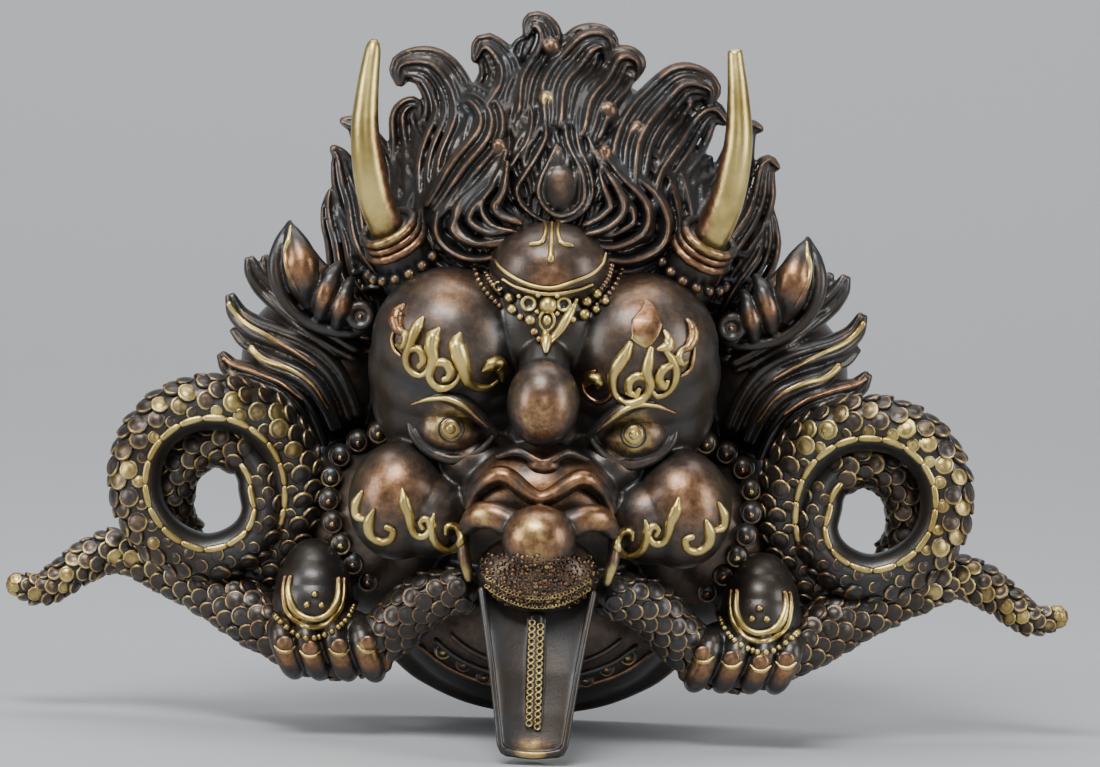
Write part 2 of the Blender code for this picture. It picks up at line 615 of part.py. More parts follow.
def main():
    for old in list(bpy.data.objects):
        bpy.data.objects.remove(old)
    clay = Clay()
    crown(clay)
    forehead(clay)
    muzzle(clay)
    beak(clay)
    throat(clay)
    for side in BOTH_SIDES:
        ear(clay, side)
        collar(clay, side)
        brow_and_eye(clay, side)
        cheek(clay, side)
        serpent(clay, side)
        fist(clay, side)
    casting = add_object("mask_casting", clay.mesh("mask_casting"))
    casting.data.materials.append(material("dark_patina", PATINA, 0.42))
    fuse = casting.modifiers.new("fuse", "REMESH")
    fuse.mode = "VOXEL"
    fuse.voxel_size = CAST_GRAIN * UNIT
    settle = casting.modifiers.new("settle", "SMOOTH")
    settle.factor = 0.5
    settle.iterations = 2
    thin = casting.modifiers.new("thin", "DECIMATE")
    thin.ratio = CAST_KEPT_SHARE
    cut(casting, cutter("behind_wall", wall_block()))
    cut(casting, cutter("back_hollow", hollow_dome()))
    brass = material("horn_brass", HORN_BRASS, 0.28)
    for side, word in ((-1, "left"), (1, "right")):
        horn = add_object("horn_" + word, horn_mesh("horn_" + word, side, 0.0))
        horn.data.materials.append(brass)
        horn.data.shade_smooth()
        cut(casting, cutter("socket_" + word, horn_mesh("socket_" + word, side, HORN_CLEARANCE)))


main()
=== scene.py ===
"""Looks of the horned guardian wall mask: carved relief, scales, beads and brass rubbed through patina."""

import json
import math

import bpy
import numpy as np
from mathutils import Matrix, Vector
from mathutils.bvhtree import BVHTree

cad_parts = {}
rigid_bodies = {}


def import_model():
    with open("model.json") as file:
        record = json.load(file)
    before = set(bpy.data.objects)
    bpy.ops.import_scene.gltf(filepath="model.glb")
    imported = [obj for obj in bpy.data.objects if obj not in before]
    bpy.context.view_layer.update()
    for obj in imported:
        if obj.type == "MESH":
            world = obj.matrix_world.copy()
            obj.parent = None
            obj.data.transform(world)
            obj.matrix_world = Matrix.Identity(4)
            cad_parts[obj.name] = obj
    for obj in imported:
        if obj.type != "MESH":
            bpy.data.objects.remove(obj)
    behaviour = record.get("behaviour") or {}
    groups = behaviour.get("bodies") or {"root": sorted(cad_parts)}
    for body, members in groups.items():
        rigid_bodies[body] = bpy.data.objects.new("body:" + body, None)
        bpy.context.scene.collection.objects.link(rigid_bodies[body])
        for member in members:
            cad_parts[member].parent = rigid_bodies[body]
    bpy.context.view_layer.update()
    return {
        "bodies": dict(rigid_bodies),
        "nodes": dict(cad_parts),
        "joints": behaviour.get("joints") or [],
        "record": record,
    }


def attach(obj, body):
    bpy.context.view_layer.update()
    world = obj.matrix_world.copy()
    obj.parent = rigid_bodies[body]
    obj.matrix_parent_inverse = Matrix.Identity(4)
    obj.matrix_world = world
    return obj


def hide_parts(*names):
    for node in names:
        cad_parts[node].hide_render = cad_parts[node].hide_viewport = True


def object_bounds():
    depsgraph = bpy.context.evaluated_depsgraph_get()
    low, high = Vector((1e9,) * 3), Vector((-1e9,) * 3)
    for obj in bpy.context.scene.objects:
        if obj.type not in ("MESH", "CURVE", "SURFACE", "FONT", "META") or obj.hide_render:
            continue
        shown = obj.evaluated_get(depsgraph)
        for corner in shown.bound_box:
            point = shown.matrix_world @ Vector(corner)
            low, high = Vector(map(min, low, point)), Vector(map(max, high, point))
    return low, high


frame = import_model()

# The layout of the part's source: units, of which the mask is UNITS_ACROSS wide.
MASK_WIDTH = 0.320
UNITS_ACROSS = 1058.0
UNIT = MASK_WIDTH / UNITS_ACROSS
VIEW_RISE = math.tan(math.radians(7))
ORIGIN_HIGH = 600.0
FRONT = np.array([0.0, -1.0, 0.0])
BOTH_SIDES = (-1, 1)
SIDE_WORDS = {-1: "left", 1: "right"}
# How far out from the wall the thin rim of the casting stands, and a place in front of it all.
RIM_OUT = 34.0
FAR_OUT = 460.0

# Colours of the metals, linear.
PATINA_BROWN = (0.046, 0.036, 0.028)
PATINA_SLATE = (0.050, 0.051, 0.052)
COPPER_DEEP = (0.19, 0.092, 0.046)
COPPER_LIGHT = (0.40, 0.215, 0.105)
BRASS_DEEP = (0.42, 0.30, 0.09)
BRASS_LIGHT = (0.76, 0.60, 0.22)

RANDOM = np.random.default_rng(11)
METALS = {}
SHAPES = {}


def spot(x, high, out):
    """A place on the mask in units: right of the centre line, up, and out from the wall as -Y."""
    return np.array([x, -out, high + VIEW_RISE * out], float)


def metres(points):
    """Points in units turned to metres from the origin on the back."""
    return (np.asarray(points, float) - [0.0, 0.0, ORIGIN_HIGH]) * UNIT


def ramp(value, low, high):
    """0 below low, 1 above high, and a smooth step between."""
    share = np.clip((np.asarray(value, float) - low) / (high - low), 0, 1)
    return share * share * (3 - 2 * share)


def on_side(side, keys):
    """(x, high) keys of the viewer's right, put on one side."""
    return [(side * x, high) for x, high in keys]


def run_along(line):
    """How far along a line each of its points is."""
    return np.concatenate([[0], np.cumsum(np.linalg.norm(np.diff(line, axis=0), axis=1))])


def places_along(line, away):
    """The places at the given distances along a line."""
    run = run_along(line)
    return np.column_stack([np.interp(away, run, column) for column in line.T])


def evened(values, reach):
    """A row of values, each made the mean of those within reach of it."""
    width = 2 * reach + 1
    return np.convolve(np.pad(values, reach, mode="edge"), np.ones(width) / width, mode="valid")


def write_shares(mesh, brass, copper):
    """Stores how far each point is rubbed through the patina to brass and to copper. Where these shares
    follow how a face is turned, they also hold painted highlight and painted shade.
    """
    for name, values in (("brass", brass), ("copper", copper)):
        attribute = mesh.attributes.get(name) or mesh.attributes.new(name, "FLOAT", "POINT")
        attribute.data.foreach_set("value", np.ascontiguousarray(values, np.float32))


def read_value(mesh, name):
    values = np.empty(len(mesh.vertices), np.float32)
    mesh.attributes[name].data.foreach_get("value", values)
    return values


def new_object(name, data):
    made = bpy.data.objects.new(name, data)
    bpy.context.scene.collection.objects.link(made)
    return made


class Clay:
    """Closed shapes gathered with their shares of brass and copper."""

    def __init__(self):
        self.points = []
        self.quads = []
        self.tris = []
        self.brass = []
        self.copper = []
        self.count = 0

    def add(self, points, quads, tris, brass=0.0, copper=0.0):
        points = np.asarray(points, float)
        self.points.append(points)
        self.quads.append(quads + self.count)
        self.tris.append(tris + self.count)
        self.brass.append(np.broadcast_to(brass, len(points)))
        self.copper.append(np.broadcast_to(copper, len(points)))
        self.count += len(points)

    def mesh(self, name):
        mesh = bpy.data.meshes.new(name)
        faces = np.vstack(self.quads).tolist() + np.vstack(self.tris).tolist()
        mesh.from_pydata(metres(np.vstack(self.points)).tolist(), [], faces)
        write_shares(mesh, np.concatenate(self.brass), np.concatenate(self.copper))
        mesh.shade_smooth()
        return mesh


def ring_faces(rings, sides):
    """Quads and triangles of a closed bar: rings of points 0.., then its first pole and its last pole."""
    side = np.arange(sides)
    after = (side + 1) % sides
    row = np.arange(rings - 1)[:, None] * sides
    quads = np.stack([row + side, row + side + sides, row + after + sides, row + after], axis=-1)
    first_pole = np.full(sides, rings * sides)
    last = (rings - 1) * sides
    near = np.stack([first_pole, side, after], axis=-1)
    far = np.stack([first_pole + 1, last + after, last + side], axis=-1)
    return quads.reshape(-1, 4), np.vstack([near, far])


def blob(clay, middle, size, turn=0.0, sides=24, rings=15, brass=0.0, copper=0.0):
    """An ellipsoid with half-axes size = (across, up, out), turned in the front view by turn degrees."""
    across, up, out = size
    polar = math.pi * np.arange(1, rings + 1) / (rings + 1)
    around = 2 * math.pi * np.arange(sides) / sides
    ring, side = np.meshgrid(polar, around, indexing="ij")
    local = np.stack([np.sin(ring) * np.sin(side) * across,
                      np.sin(ring) * np.cos(side) * out,
                      -np.cos(ring) * up], axis=-1).reshape(-1, 3)
    local = np.vstack([local, [[0, 0, -up], [0, 0, up]]])
    angle = math.radians(turn)
    x = local[:, 0] * math.cos(angle) - local[:, 2] * math.sin(angle)
    z = local[:, 0] * math.sin(angle) + local[:, 2] * math.cos(angle)
    points = np.column_stack([x, local[:, 1], z]) + middle
    face = ramp(-local[:, 1] / out, -0.2, 0.7)
    clay.add(points, *ring_faces(rings, sides), brass * face, copper * face)


def smooth_route(keys, steps):
    """Points evenly spread along a smooth curve through the key points."""
    keys = np.asarray(keys, float)
    padded = np.vstack([2 * keys[0] - keys[1], keys, 2 * keys[-1] - keys[-2]])
    t = np.linspace(0, 1, 12, endpoint=False)[:, None]
    fine = [0.5 * (2 * b + (c - a) * t + (2 * a - 5 * b + 4 * c - d) * t ** 2
                   + (3 * b - a - 3 * c + d) * t ** 3)
            for a, b, c, d in zip(padded[:-3], padded[1:-2], padded[2:-1], padded[3:])]
    fine = np.vstack([*fine, keys[-1:]])
    return places_along(fine, np.linspace(0, run_along(fine)[-1], steps))


def spread(values, steps):
    """A few values from start to end, made one value a step."""
    values = np.atleast_1d(values)
    return np.interp(np.linspace(0, 1, steps), np.linspace(0, 1, len(values)), values)


def route_frames(route, facing=FRONT):
    """Direction, across and facing directions at each point of a route."""
    along = np.gradient(np.asarray(route, float), axis=0)
    along /= np.linalg.norm(along, axis=1)[:, None] + 1e-9
    normal = np.asarray(facing, float)
    normals = []
    for direction in along:
        lifted = np.asarray(facing, float) - np.dot(facing, direction) * direction
        if np.linalg.norm(lifted) < 0.25:
            lifted = normal - np.dot(normal, direction) * direction
        normal = lifted / np.linalg.norm(lifted)
        normals.append(normal)
    normals = np.array(normals)
    return along, np.cross(along, normals), normals


CAP_STEPS = ((0.95, 0.35), (0.6, 0.8))


def bar(clay, route, radii, flat=1.0, sides=10, facing=FRONT, capped=True, keel=0.0, brass=0.0, copper=0.0):
    """A bar along a route. radii, brass and copper run from its start to its end; flat thins it towards
    its facing side, and keel raises a crease along that side."""
    route = np.asarray(route, float)
    steps = len(route)
    radius = spread(radii, steps)
    gilt = spread(brass, steps)
    rust = spread(copper, steps)
    along, across, normal = route_frames(route, facing)
    centres = route
    if capped:
        front = [route[0] - along[0] * radius[0] * far * flat for far, _ in CAP_STEPS]
        back = [route[-1] + along[-1] * radius[-1] * far * flat for far, _ in reversed(CAP_STEPS)]
        shrink = np.array([wide for _, wide in CAP_STEPS])
        centres = np.vstack([front, route, back])
        radius = np.concatenate([radius[0] * shrink, radius, radius[-1] * shrink[::-1]])
        along, across, normal, gilt, rust = (
            np.concatenate([part[:1], part[:1], part, part[-1:], part[-1:]])
            for part in (along, across, normal, gilt, rust))
    poles = [centres[0] - along[0] * 0.01, centres[-1] + along[-1] * 0.01]
    angle = 2 * math.pi * np.arange(sides) / sides
    lift = np.sin(angle) * flat * (1 + keel * np.maximum(np.sin(angle), 0) ** 4)
    ring = (np.cos(angle)[None, :, None] * across[:, None] + lift[None, :, None] * normal[:, None])
    points = (centres[:, None] + radius[:, None, None] * ring).reshape(-1, 3)
    face = ramp(np.sin(angle), -0.5, 0.6)
    gilt = np.concatenate([(gilt[:, None] * face).ravel(), gilt[[0, -1]]])
    rust = np.concatenate([(rust[:, None] * face).ravel(), rust[[0, -1]]])
    clay.add(np.vstack([points, poles]), *ring_faces(len(centres), sides), gilt, rust)


def curl_route(middle, big, small, start, turns, steps=20):
    """A flat spiral seen from the front, from radius big to small; start in degrees, turns signed."""
    share = np.linspace(0, 1, steps)
    angle = math.radians(start) + 2 * math.pi * turns * share
    radius = big + (small - big) * share
    return middle + np.column_stack([radius * np.cos(angle), 0 * share, radius * np.sin(angle)])


def wear_metal(name):
    """Dark patina rubbed through to copper brown and brass where the shares say so; in places the shares also
    hold painted highlight and painted shade.
    """
    made = bpy.data.materials.new(name)
    made.use_nodes = True
    tree = made.node_tree
    nodes, links = tree.nodes, tree.links
    shader = nodes["Principled BSDF"]

    def node(kind, **settings):
        new = nodes.new(kind)
        for key, value in settings.items():
            setattr(new, key, value)
        return new

    def noise(scale, detail, roughness=0.55):
        new = node("ShaderNodeTexNoise")
        new.inputs["Scale"].default_value = scale
        new.inputs["Detail"].default_value = detail
        new.inputs["Roughness"].default_value = roughness
        links.new(place.outputs["Object"], new.inputs["Vector"])
        return new.outputs["Fac"]

    def math_node(operation, first, second, third=0.0):
        new = node("ShaderNodeMath", operation=operation)
        for socket, value in zip(new.inputs, (first, second, third)):
            if isinstance(value, (int, float)):
                socket.default_value = value
            else:
                links.new(value, socket)
        return new.outputs[0]

    def remap(value, low, high, to_low=0.0, to_high=1.0):
        new = node("ShaderNodeMapRange", interpolation_type="SMOOTHSTEP")
        links.new(value, new.inputs["Value"])
        for key, number in (("From Min", low), ("From Max", high), ("To Min", to_low), ("To Max", to_high)):
            new.inputs[key].default_value = number
        return new.outputs["Result"]

    def blend(share, first, second):
        new = node("ShaderNodeMix", data_type="RGBA")
        links.new(share, new.inputs[0])
        for socket, value in ((new.inputs[6], first), (new.inputs[7], second)):
            if isinstance(value, tuple):
                socket.default_value = (*value, 1.0)
            else:
                links.new(value, socket)
        return new.outputs[2]

    place = node("ShaderNodeTexCoord")
    brass = node("ShaderNodeAttribute", attribute_name="brass").outputs["Fac"]
    copper = node("ShaderNodeAttribute", attribute_name="copper").outputs["Fac"]
    cloud = noise(55.0, 5.0)
    grain = noise(420.0, 6.0, 0.65)
    speck = noise(1500.0, 4.0, 0.6)
    uneven = math_node("ADD", math_node("MULTIPLY", cloud, 0.55), math_node("MULTIPLY", grain, 0.45))
    shift = math_node("SUBTRACT", uneven, 0.5)
    brass_share = remap(math_node("MULTIPLY_ADD", shift, 1.2, brass), 0.25, 0.80)
    copper_share = remap(math_node("MULTIPLY_ADD", shift, 0.8, copper), 0.16, 0.95)
    patina = blend(remap(cloud, 0.35, 0.65), PATINA_BROWN, PATINA_SLATE)
    rubbed = blend(copper_share, patina, blend(remap(grain, 0.3, 0.7), COPPER_DEEP, COPPER_LIGHT))
    metal = blend(brass_share, rubbed, blend(remap(cloud, 0.35, 0.65), BRASS_DEEP, BRASS_LIGHT))
    links.new(metal, shader.inputs["Base Color"])
    shown = math_node("MAXIMUM", brass_share, copper_share)
    links.new(remap(shown, 0.0, 1.0, 0.78, 1.0), shader.inputs["Metallic"])
    links.new(math_node("ADD", remap(shown, 0.0, 1.0, 0.33, 0.27), math_node("MULTIPLY", grain, 0.14)),
              shader.inputs["Roughness"])
    shader.inputs["Coat Weight"].default_value = 0.30
    shader.inputs["Coat Roughness"].default_value = 0.22
    height = math_node("ADD", math_node("MULTIPLY", grain, 0.6), math_node("MULTIPLY", speck, 0.4))
    bump = node("ShaderNodeBump")
    bump.inputs["Strength"].default_value = 0.22
    bump.inputs["Distance"].default_value = 0.0006
    links.new(height, bump.inputs["Height"])
    links.new(bump.outputs["Normal"], shader.inputs["Normal"])
    return made


def finish_piece(name, mesh, replaced="mask_casting", slot="dark_patina"):
    """Makes a mesh one of the object's pieces."""
    mesh.materials.clear()
    mesh.materials.append(METALS[slot])
    piece = new_object(name, mesh)
    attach(piece, "root")
    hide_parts(replaced)


def evaluated_mesh(helper, name):
    """The mesh that a helper's modifiers make, after which the helper goes."""
    bpy.context.view_layer.update()
    graph = bpy.context.evaluated_depsgraph_get()
    mesh = bpy.data.meshes.new_from_object(helper.evaluated_get(graph))
    mesh.name = name
    old = helper.data
    bpy.data.objects.remove(helper)
    if old.users == 0:
        bpy.data.meshes.remove(old)
    return mesh


def fused(name, clay, grain, most, settle=2, shape=None):
    """The clay fused to one skin by voxels of grain units, eased, and thinned to the most triangles it may
    have. shape moves its points before they are thinned."""
    helper = new_object(name + "_helper", clay.mesh(name + "_clay"))
    melt = helper.modifiers.new("melt", "REMESH")
    melt.mode = "VOXEL"
    melt.voxel_size = grain * UNIT * 1.0
    ease = helper.modifiers.new("ease", "SMOOTH")
    ease.factor = 0.5
    ease.iterations = settle
    mesh = evaluated_mesh(helper, name)
    if shape:
        points, _, _ = read_mesh(mesh)
        mesh.vertices.foreach_set("co", metres(shape(points)).astype(np.float32).ravel())
        mesh.update()
    mesh.calc_loop_triangles()
    if len(mesh.loop_triangles) > most:
        helper = new_object(name + "_helper", mesh)
        thin = helper.modifiers.new("thin", "DECIMATE")
        thin.ratio = most / len(mesh.loop_triangles)
        mesh = evaluated_mesh(helper, name)
    mesh.shade_smooth()
    return mesh


def read_mesh(mesh):
    """Points and normals of a mesh in units, and its edges."""
    count = len(mesh.vertices)
    points = np.empty(count * 3)
    normals = np.empty(count * 3)
    edges = np.empty(len(mesh.edges) * 2, np.int32)
    mesh.vertices.foreach_get("co", points)
    mesh.vertices.foreach_get("normal", normals)
    mesh.edges.foreach_get("vertices", edges)
    points = points.reshape(-1, 3) / UNIT + [0.0, 0.0, ORIGIN_HIGH]
    return points, normals.reshape(-1, 3), edges.reshape(-1, 2)


def proud(points, normals, edges, rounds):
    """How far, in units, each point stands out of the surface eased by that many rounds."""
    count = len(points)
    a, b = edges.T
    degree = np.maximum(np.bincount(edges.ravel(), minlength=count), 1)[:, None]
    eased = points
    for _ in range(rounds):
        total = np.column_stack([np.bincount(a, column[b], count) + np.bincount(b, column[a], count)
                                 for column in eased.T])
        eased = 0.5 * (eased + total / degree)
    return ((points - eased) * normals).sum(axis=1)


def front_view(points):
    """x and height on the front view of points in units."""
    return points[:, 0], points[:, 2] + VIEW_RISE * points[:, 1]


def patches(points, rows):
    """The most that any soft-edged patch (x, high, radius, share) gives at each point."""
    x, high = front_view(points)
    best = np.zeros(len(points))
    for px, ph, radius, share in rows:
        away = np.hypot(x - px, high - ph) / radius
        best = np.maximum(best, share * np.exp(-(away ** 2) * 1.2))
    return best


class Skin:
    """A finished surface, looked up along the line of the front view."""

    def __init__(self, *meshes):
        corners = []
        faces = []
        for mesh in meshes:
            first = len(corners)
            corners.extend(vertex.co[:] for vertex in mesh.vertices)
            faces.extend([first + v for v in polygon.vertices] for polygon in mesh.polygons)
        self.tree = BVHTree.FromPolygons(corners, faces)
        self.ray = Vector((0.0, 1.0, -VIEW_RISE)).normalized()

    def out(self, x, high):
        """How far the surface stands from the wall at a place on the front view."""
        hit, _, _, _ = self.tree.ray_cast(Vector(metres(spot(x, high, FAR_OUT))), self.ray)
        return RIM_OUT if hit is None else -hit.y / UNIT

    def on(self, x, high, lift=0.0):
        return spot(x, high, self.out(x, high) + lift)

    def route(self, keys, steps, lift=0.0, even=1):
        """A smooth line through (x, high) keys, laid on the surface."""
        flat = smooth_route([(x, 0.0, high) for x, high in keys], steps)
        out = evened(np.array([self.out(x, high) for x, _, high in flat]) + lift, even)
        return np.array([spot(x, high, far) for (x, _, high), far in zip(flat, out)])


def scatter_tree():
    """Copies a shape onto each point, turned and sized by the point's own numbers."""
    tree = bpy.data.node_groups.new("scatter", "GeometryNodeTree")
    sockets = tree.interface
    for name, kind in (("Geometry", "NodeSocketGeometry"), ("Shape", "NodeSocketObject"),
                       ("Metal", "NodeSocketMaterial")):
        sockets.new_socket(name, in_out="INPUT", socket_type=kind)
    sockets.new_socket("Geometry", in_out="OUTPUT", socket_type="NodeSocketGeometry")
    nodes, links = tree.nodes, tree.links
    given = nodes.new("NodeGroupInput")
    shape = nodes.new("GeometryNodeObjectInfo")
    shape.inputs["As Instance"].default_value = True
    links.new(given.outputs["Shape"], shape.inputs["Object"])
    turn = nodes.new("GeometryNodeInputNamedAttribute")
    turn.data_type = "FLOAT_VECTOR"
    turn.inputs["Name"].default_value = "turn"
    rotation = nodes.new("FunctionNodeEulerToRotation")
    links.new(turn.outputs["Attribute"], rotation.inputs[0])
    size = nodes.new("GeometryNodeInputNamedAttribute")
    size.data_type = "FLOAT"
    size.inputs["Name"].default_value = "size"
    copies = nodes.new("GeometryNodeInstanceOnPoints")
    links.new(given.outputs["Geometry"], copies.inputs["Points"])
    links.new(shape.outputs["Geometry"], copies.inputs["Instance"])
    links.new(rotation.outputs[0], copies.inputs["Rotation"])
    links.new(size.outputs["Attribute"], copies.inputs["Scale"])
    real = nodes.new("GeometryNodeRealizeInstances")
    links.new(copies.outputs["Instances"], real.inputs["Geometry"])
    coat = nodes.new("GeometryNodeSetMaterial")
    links.new(real.outputs["Geometry"], coat.inputs["Geometry"])
    links.new(given.outputs["Metal"], coat.inputs["Material"])
    result = nodes.new("NodeGroupOutput")
    links.new(coat.outputs["Geometry"], result.inputs["Geometry"])
    return tree


class Scatter:
    """Places, turns and sizes for one shape, gathered and then copied in one go."""

    def __init__(self, shape):
        self.shape = shape
        self.rows = []

    def put(self, place, outward, along, size, worn=0.7):
        outward = Vector(outward).normalized()
        across = Vector(along).cross(outward).normalized()
        frame = Matrix((across, outward.cross(across), outward)).transposed()
        self.rows.append((*metres(place), *frame.to_euler("XYZ"), size, worn))

    def mesh(self, name):
        rows = np.array(self.rows)
        points = bpy.data.meshes.new(name + "_points")
        points.from_pydata(rows[:, :3].tolist(), [], [])
        turns = points.attributes.new("turn", "FLOAT_VECTOR", "POINT")
        turns.data.foreach_set("vector", rows[:, 3:6].astype(np.float32).ravel())
        for key, column in (("size", 6), ("worn", 7)):
            values = points.attributes.new(key, "FLOAT", "POINT")
            values.data.foreach_set("value", rows[:, column].astype(np.float32))
        model = new_object(name + "_shape", self.shape)
        helper = new_object(name + "_helper", points)
        modifier = helper.modifiers.new("scatter", "NODES")
        modifier.node_group = SCATTER
        given = {"Shape": model, "Metal": METALS["dark_patina"]}
        for item in SCATTER.interface.items_tree:
            if item.in_out == "INPUT" and item.name in given:
                modifier[item.identifier] = given[item.name]
        mesh = evaluated_mesh(helper, name)
        bpy.data.objects.remove(model)
        edge, face, worn = (read_value(mesh, key) for key in ("brass", "copper", "worn"))
        # On the scales, worn also holds painted shade on scales turned away from the front.
        bright = np.maximum(edge * (0.30 + 0.70 * worn), face * ramp(worn, 0.40, 1.05) * 0.80)
        brown = np.maximum(edge * (0.65 + 0.30 * worn), face * (0.05 + 0.52 * worn))
        write_shares(mesh, bright, brown)
        mesh.shade_smooth()
        return mesh


def turned_shape(name, profile, sides, free_edge=False):
    """A small turned shape of unit radius, in units: profile rows are radius, height, bright edge and
    bright face, from the foot's centre to the top's centre. A free edge is bright on its +Y side alone."""
    profile = np.array(profile, float)
    inner = profile[1:-1]
    angle = 2 * math.pi * np.arange(sides) / sides
    rings = np.stack([inner[:, :1] * np.cos(angle), inner[:, :1] * np.sin(angle),
                      np.repeat(inner[:, 1:2], sides, axis=1)], axis=-1).reshape(-1, 3)
    poles = [[0, 0, profile[0, 1]], [0, 0, profile[-1, 1]]]
    quads, tris = ring_faces(len(inner), sides)
    mesh = bpy.data.meshes.new(name)
    points = np.vstack([rings, poles]) * UNIT
    mesh.from_pydata(points.tolist(), [], quads[:, ::-1].tolist() + tris[:, ::-1].tolist())
    edge, face = (np.repeat(inner[:, column], sides) for column in (2, 3))
    if free_edge:
        edge = edge * np.tile(ramp(np.sin(angle), -0.45, 0.45), len(inner))
    ends = profile[[0, -1]]
    write_shares(mesh, np.concatenate([edge, ends[:, 2]]), np.concatenate([face, ends[:, 3]]))
    mesh.shade_smooth()
    return mesh


def scale_shape():
    return turned_shape("scale_shape", (
        (0, -0.50, 0, 0), (0.84, -0.50, 0, 0), (1.0, -0.10, 0.05, 0), (0.98, 0.08, 0.95, 0.5),
        (0.89, 0.17, 1.0, 0.8), (0.78, 0.14, 0.45, 0.7), (0.55, 0.24, 0, 0.85), (0.28, 0.31, 0, 1.0),
        (0, 0.33, 0, 1.0)), 12, free_edge=True)


def bead_shape():
    return turned_shape("bead_shape", (
        (0, -0.9, 0, 0), (0.75, -0.66, 0, 0), (1.0, 0, 0.05, 0.1), (0.86, 0.50, 0.6, 0.7),
        (0.50, 0.86, 1.0, 1.0), (0, 1.0, 1.0, 1.0)), 14)


def ring_shape():
    return turned_shape("ring_shape", (
        (0, -0.5, 0, 0), (0.95, -0.5, 0, 0), (1.0, 0.05, 0.4, 0.6), (0.88, 0.26, 1.0, 1.0),
        (0.66, 0.20, 0.9, 1.0), (0.50, -0.12, 0.1, 0.3), (0, -0.30, 0, 0)), 12)


# Swells under the carving: middle (x, high, out) and half-axes (across, up, out).
SWELLS = (
    ((2, 500, 0), (178, 190, 166)),
    ((-168, 490, 0), (48, 92, 84)),
    ((168, 490, 0), (48, 92, 84)),
    ((-220, 385, 0), (84, 80, 84)),
    ((220, 385, 0), (84, 80, 84)),
    ((0, 335, 0), (182, 180, 185)),
    ((-165, 225, 0), (90, 98, 132)),
    ((165, 225, 0), (90, 98, 132)),
    ((0, 150, 0), (160, 106, 136)),
)


def ground(x, high):
    """How far out from the wall the swells reach at a place on the front view."""
    reach = RIM_OUT
    for (cx, ch, co), (across, up, out) in SWELLS:
        inside = 1 - ((x - cx) / across) ** 2 - ((high - ch) / up) ** 2
        if inside > 0:
            reach = max(reach, co + out * math.sqrt(inside))
    return reach


STRAND_PITCH = 9.6
LOCK_STEPS = 52
LOCK_WAVE = 4.5
LOCK_TAPER = ((0.0, 0.70), (0.25, 0.95), (0.5, 1.0), (0.75, 0.82), (0.90, 0.55), (1.0, 0.14))


def lock_line(keys):
    """A smooth line on the front view through (x, high) keys, and the direction across it at each point."""
    line = smooth_route([(x, 0.0, high) for x, high in keys], LOCK_STEPS)[:, [0, 2]]
    heading = np.gradient(line, axis=0)
    heading /= np.linalg.norm(heading, axis=1)[:, None]
    return line, np.column_stack([-heading[:, 1], heading[:, 0]])


def laid_route(line, even, lift):
    """A line of the front view laid on the swells, evened and lifted."""
    out = evened(np.array([ground(x, high) for x, high in line]), even) + lift
    return [spot(x, high, far) for (x, high), far in zip(line, out)]


def lock(clay, keys, width, lift):
    """A lock of hair: strands side by side that follow a line through (x, high) keys and meet at its tip."""
    line, sideways = lock_line(keys)
    share = np.linspace(0, 1, LOCK_STEPS)
    taper = np.interp(share, *zip(*LOCK_TAPER))
    wave = LOCK_WAVE * min(1.0, width / 36) * np.sin(2.2 * math.pi * share) * np.sin(math.pi * share)
    line = line + wave[:, None] * sideways
    strands = max(2, int(round(width / STRAND_PITCH)))
    for number, place in enumerate(np.linspace(-1, 1, strands)):
        apart = place * (width / 2) * (1 - 0.5 / strands) * taper
        raised = lift + (1 - place ** 2) * width * 0.30 * taper - 2.6 * (number % 2) + RANDOM.uniform(-1, 1)
        route = laid_route(line + apart[:, None] * sideways, 5, raised)
        thick = (0.60, 0.50)[number % 2] * RANDOM.uniform(0.94, 1.06)
        bar(clay, route, width / strands * thick * np.maximum(taper, 0.52), flat=1.5, sides=14, keel=0.45)


# Locks of the crown, clockwise from the viewer's left: keys (x, high) from root to tip, width, lift.
CROWN = (
    (((-172, 436), (-198, 478), (-214, 520), (-219, 556)), 34, 4),
    (((-158, 466), (-186, 516), (-203, 560), (-209, 590), (-217, 600)), 36, 6),
    (((-140, 500), (-162, 552), (-180, 594), (-193, 622), (-208, 628)), 36, 5),
    (((-136, 520), (-140, 570), (-148, 606), (-150, 636), (-138, 646), (-133, 634)), 30, 6),
    (((-118, 530), (-112, 590), (-104, 640), (-122, 680), (-150, 684), (-152, 668)), 54, 8),
    (((-116, 545), (-88, 585), (-70, 624), (-78, 650), (-99, 650), (-100, 638)), 42, 16),
    (((-84, 590), (-66, 640), (-56, 682), (-68, 706), (-78, 694)), 46, 8),
    (((-46, 630), (-42, 676), (-33, 708), (-26, 716)), 28, 8),
    (((-30, 640), (-20, 686), (-12, 720), (-21, 732), (-28, 720)), 34, 12),
    (((4, 630), (12, 678), (28, 708), (46, 714), (51, 700)), 58, 10),
    (((34, 620), (50, 662), (64, 696), (79, 696), (80, 680)), 38, 14),
    (((82, 560), (90, 615), (104, 652), (128, 677), (154, 672), (156, 660)), 52, 8),
    (((104, 530), (118, 585), (134, 625), (156, 648), (172, 640)), 42, 6),
    (((140, 500), (160, 552), (178, 596), (194, 632), (207, 634)), 36, 5),
    (((158, 466), (186, 516), (203, 562), (214, 598), (225, 596)), 36, 6),
    (((172, 436), (198, 478), (213, 520), (219, 556)), 34, 4),
)

# Locks over the forehead for the viewer's right, in the same columns.
FORELOCKS = (
    (((44, 507), (78, 503), (104, 516), (107, 536), (94, 559), (69, 582), (53, 602)), 24, 16),
    (((44, 516), (66, 515), (88, 528), (87, 549), (66, 573), (52, 599)), 20, 22),
    (((38, 526), (56, 533), (66, 547), (59, 565), (50, 588)), 18, 26),
    (((118, 500), (132, 536), (116, 578), (96, 612), (98, 636)), 30, 11),
    (((24, 560), (30, 600), (18, 636), (24, 668)), 26, 6),
    (((136, 490), (152, 530), (148, 570), (158, 602)), 26, 9),
)

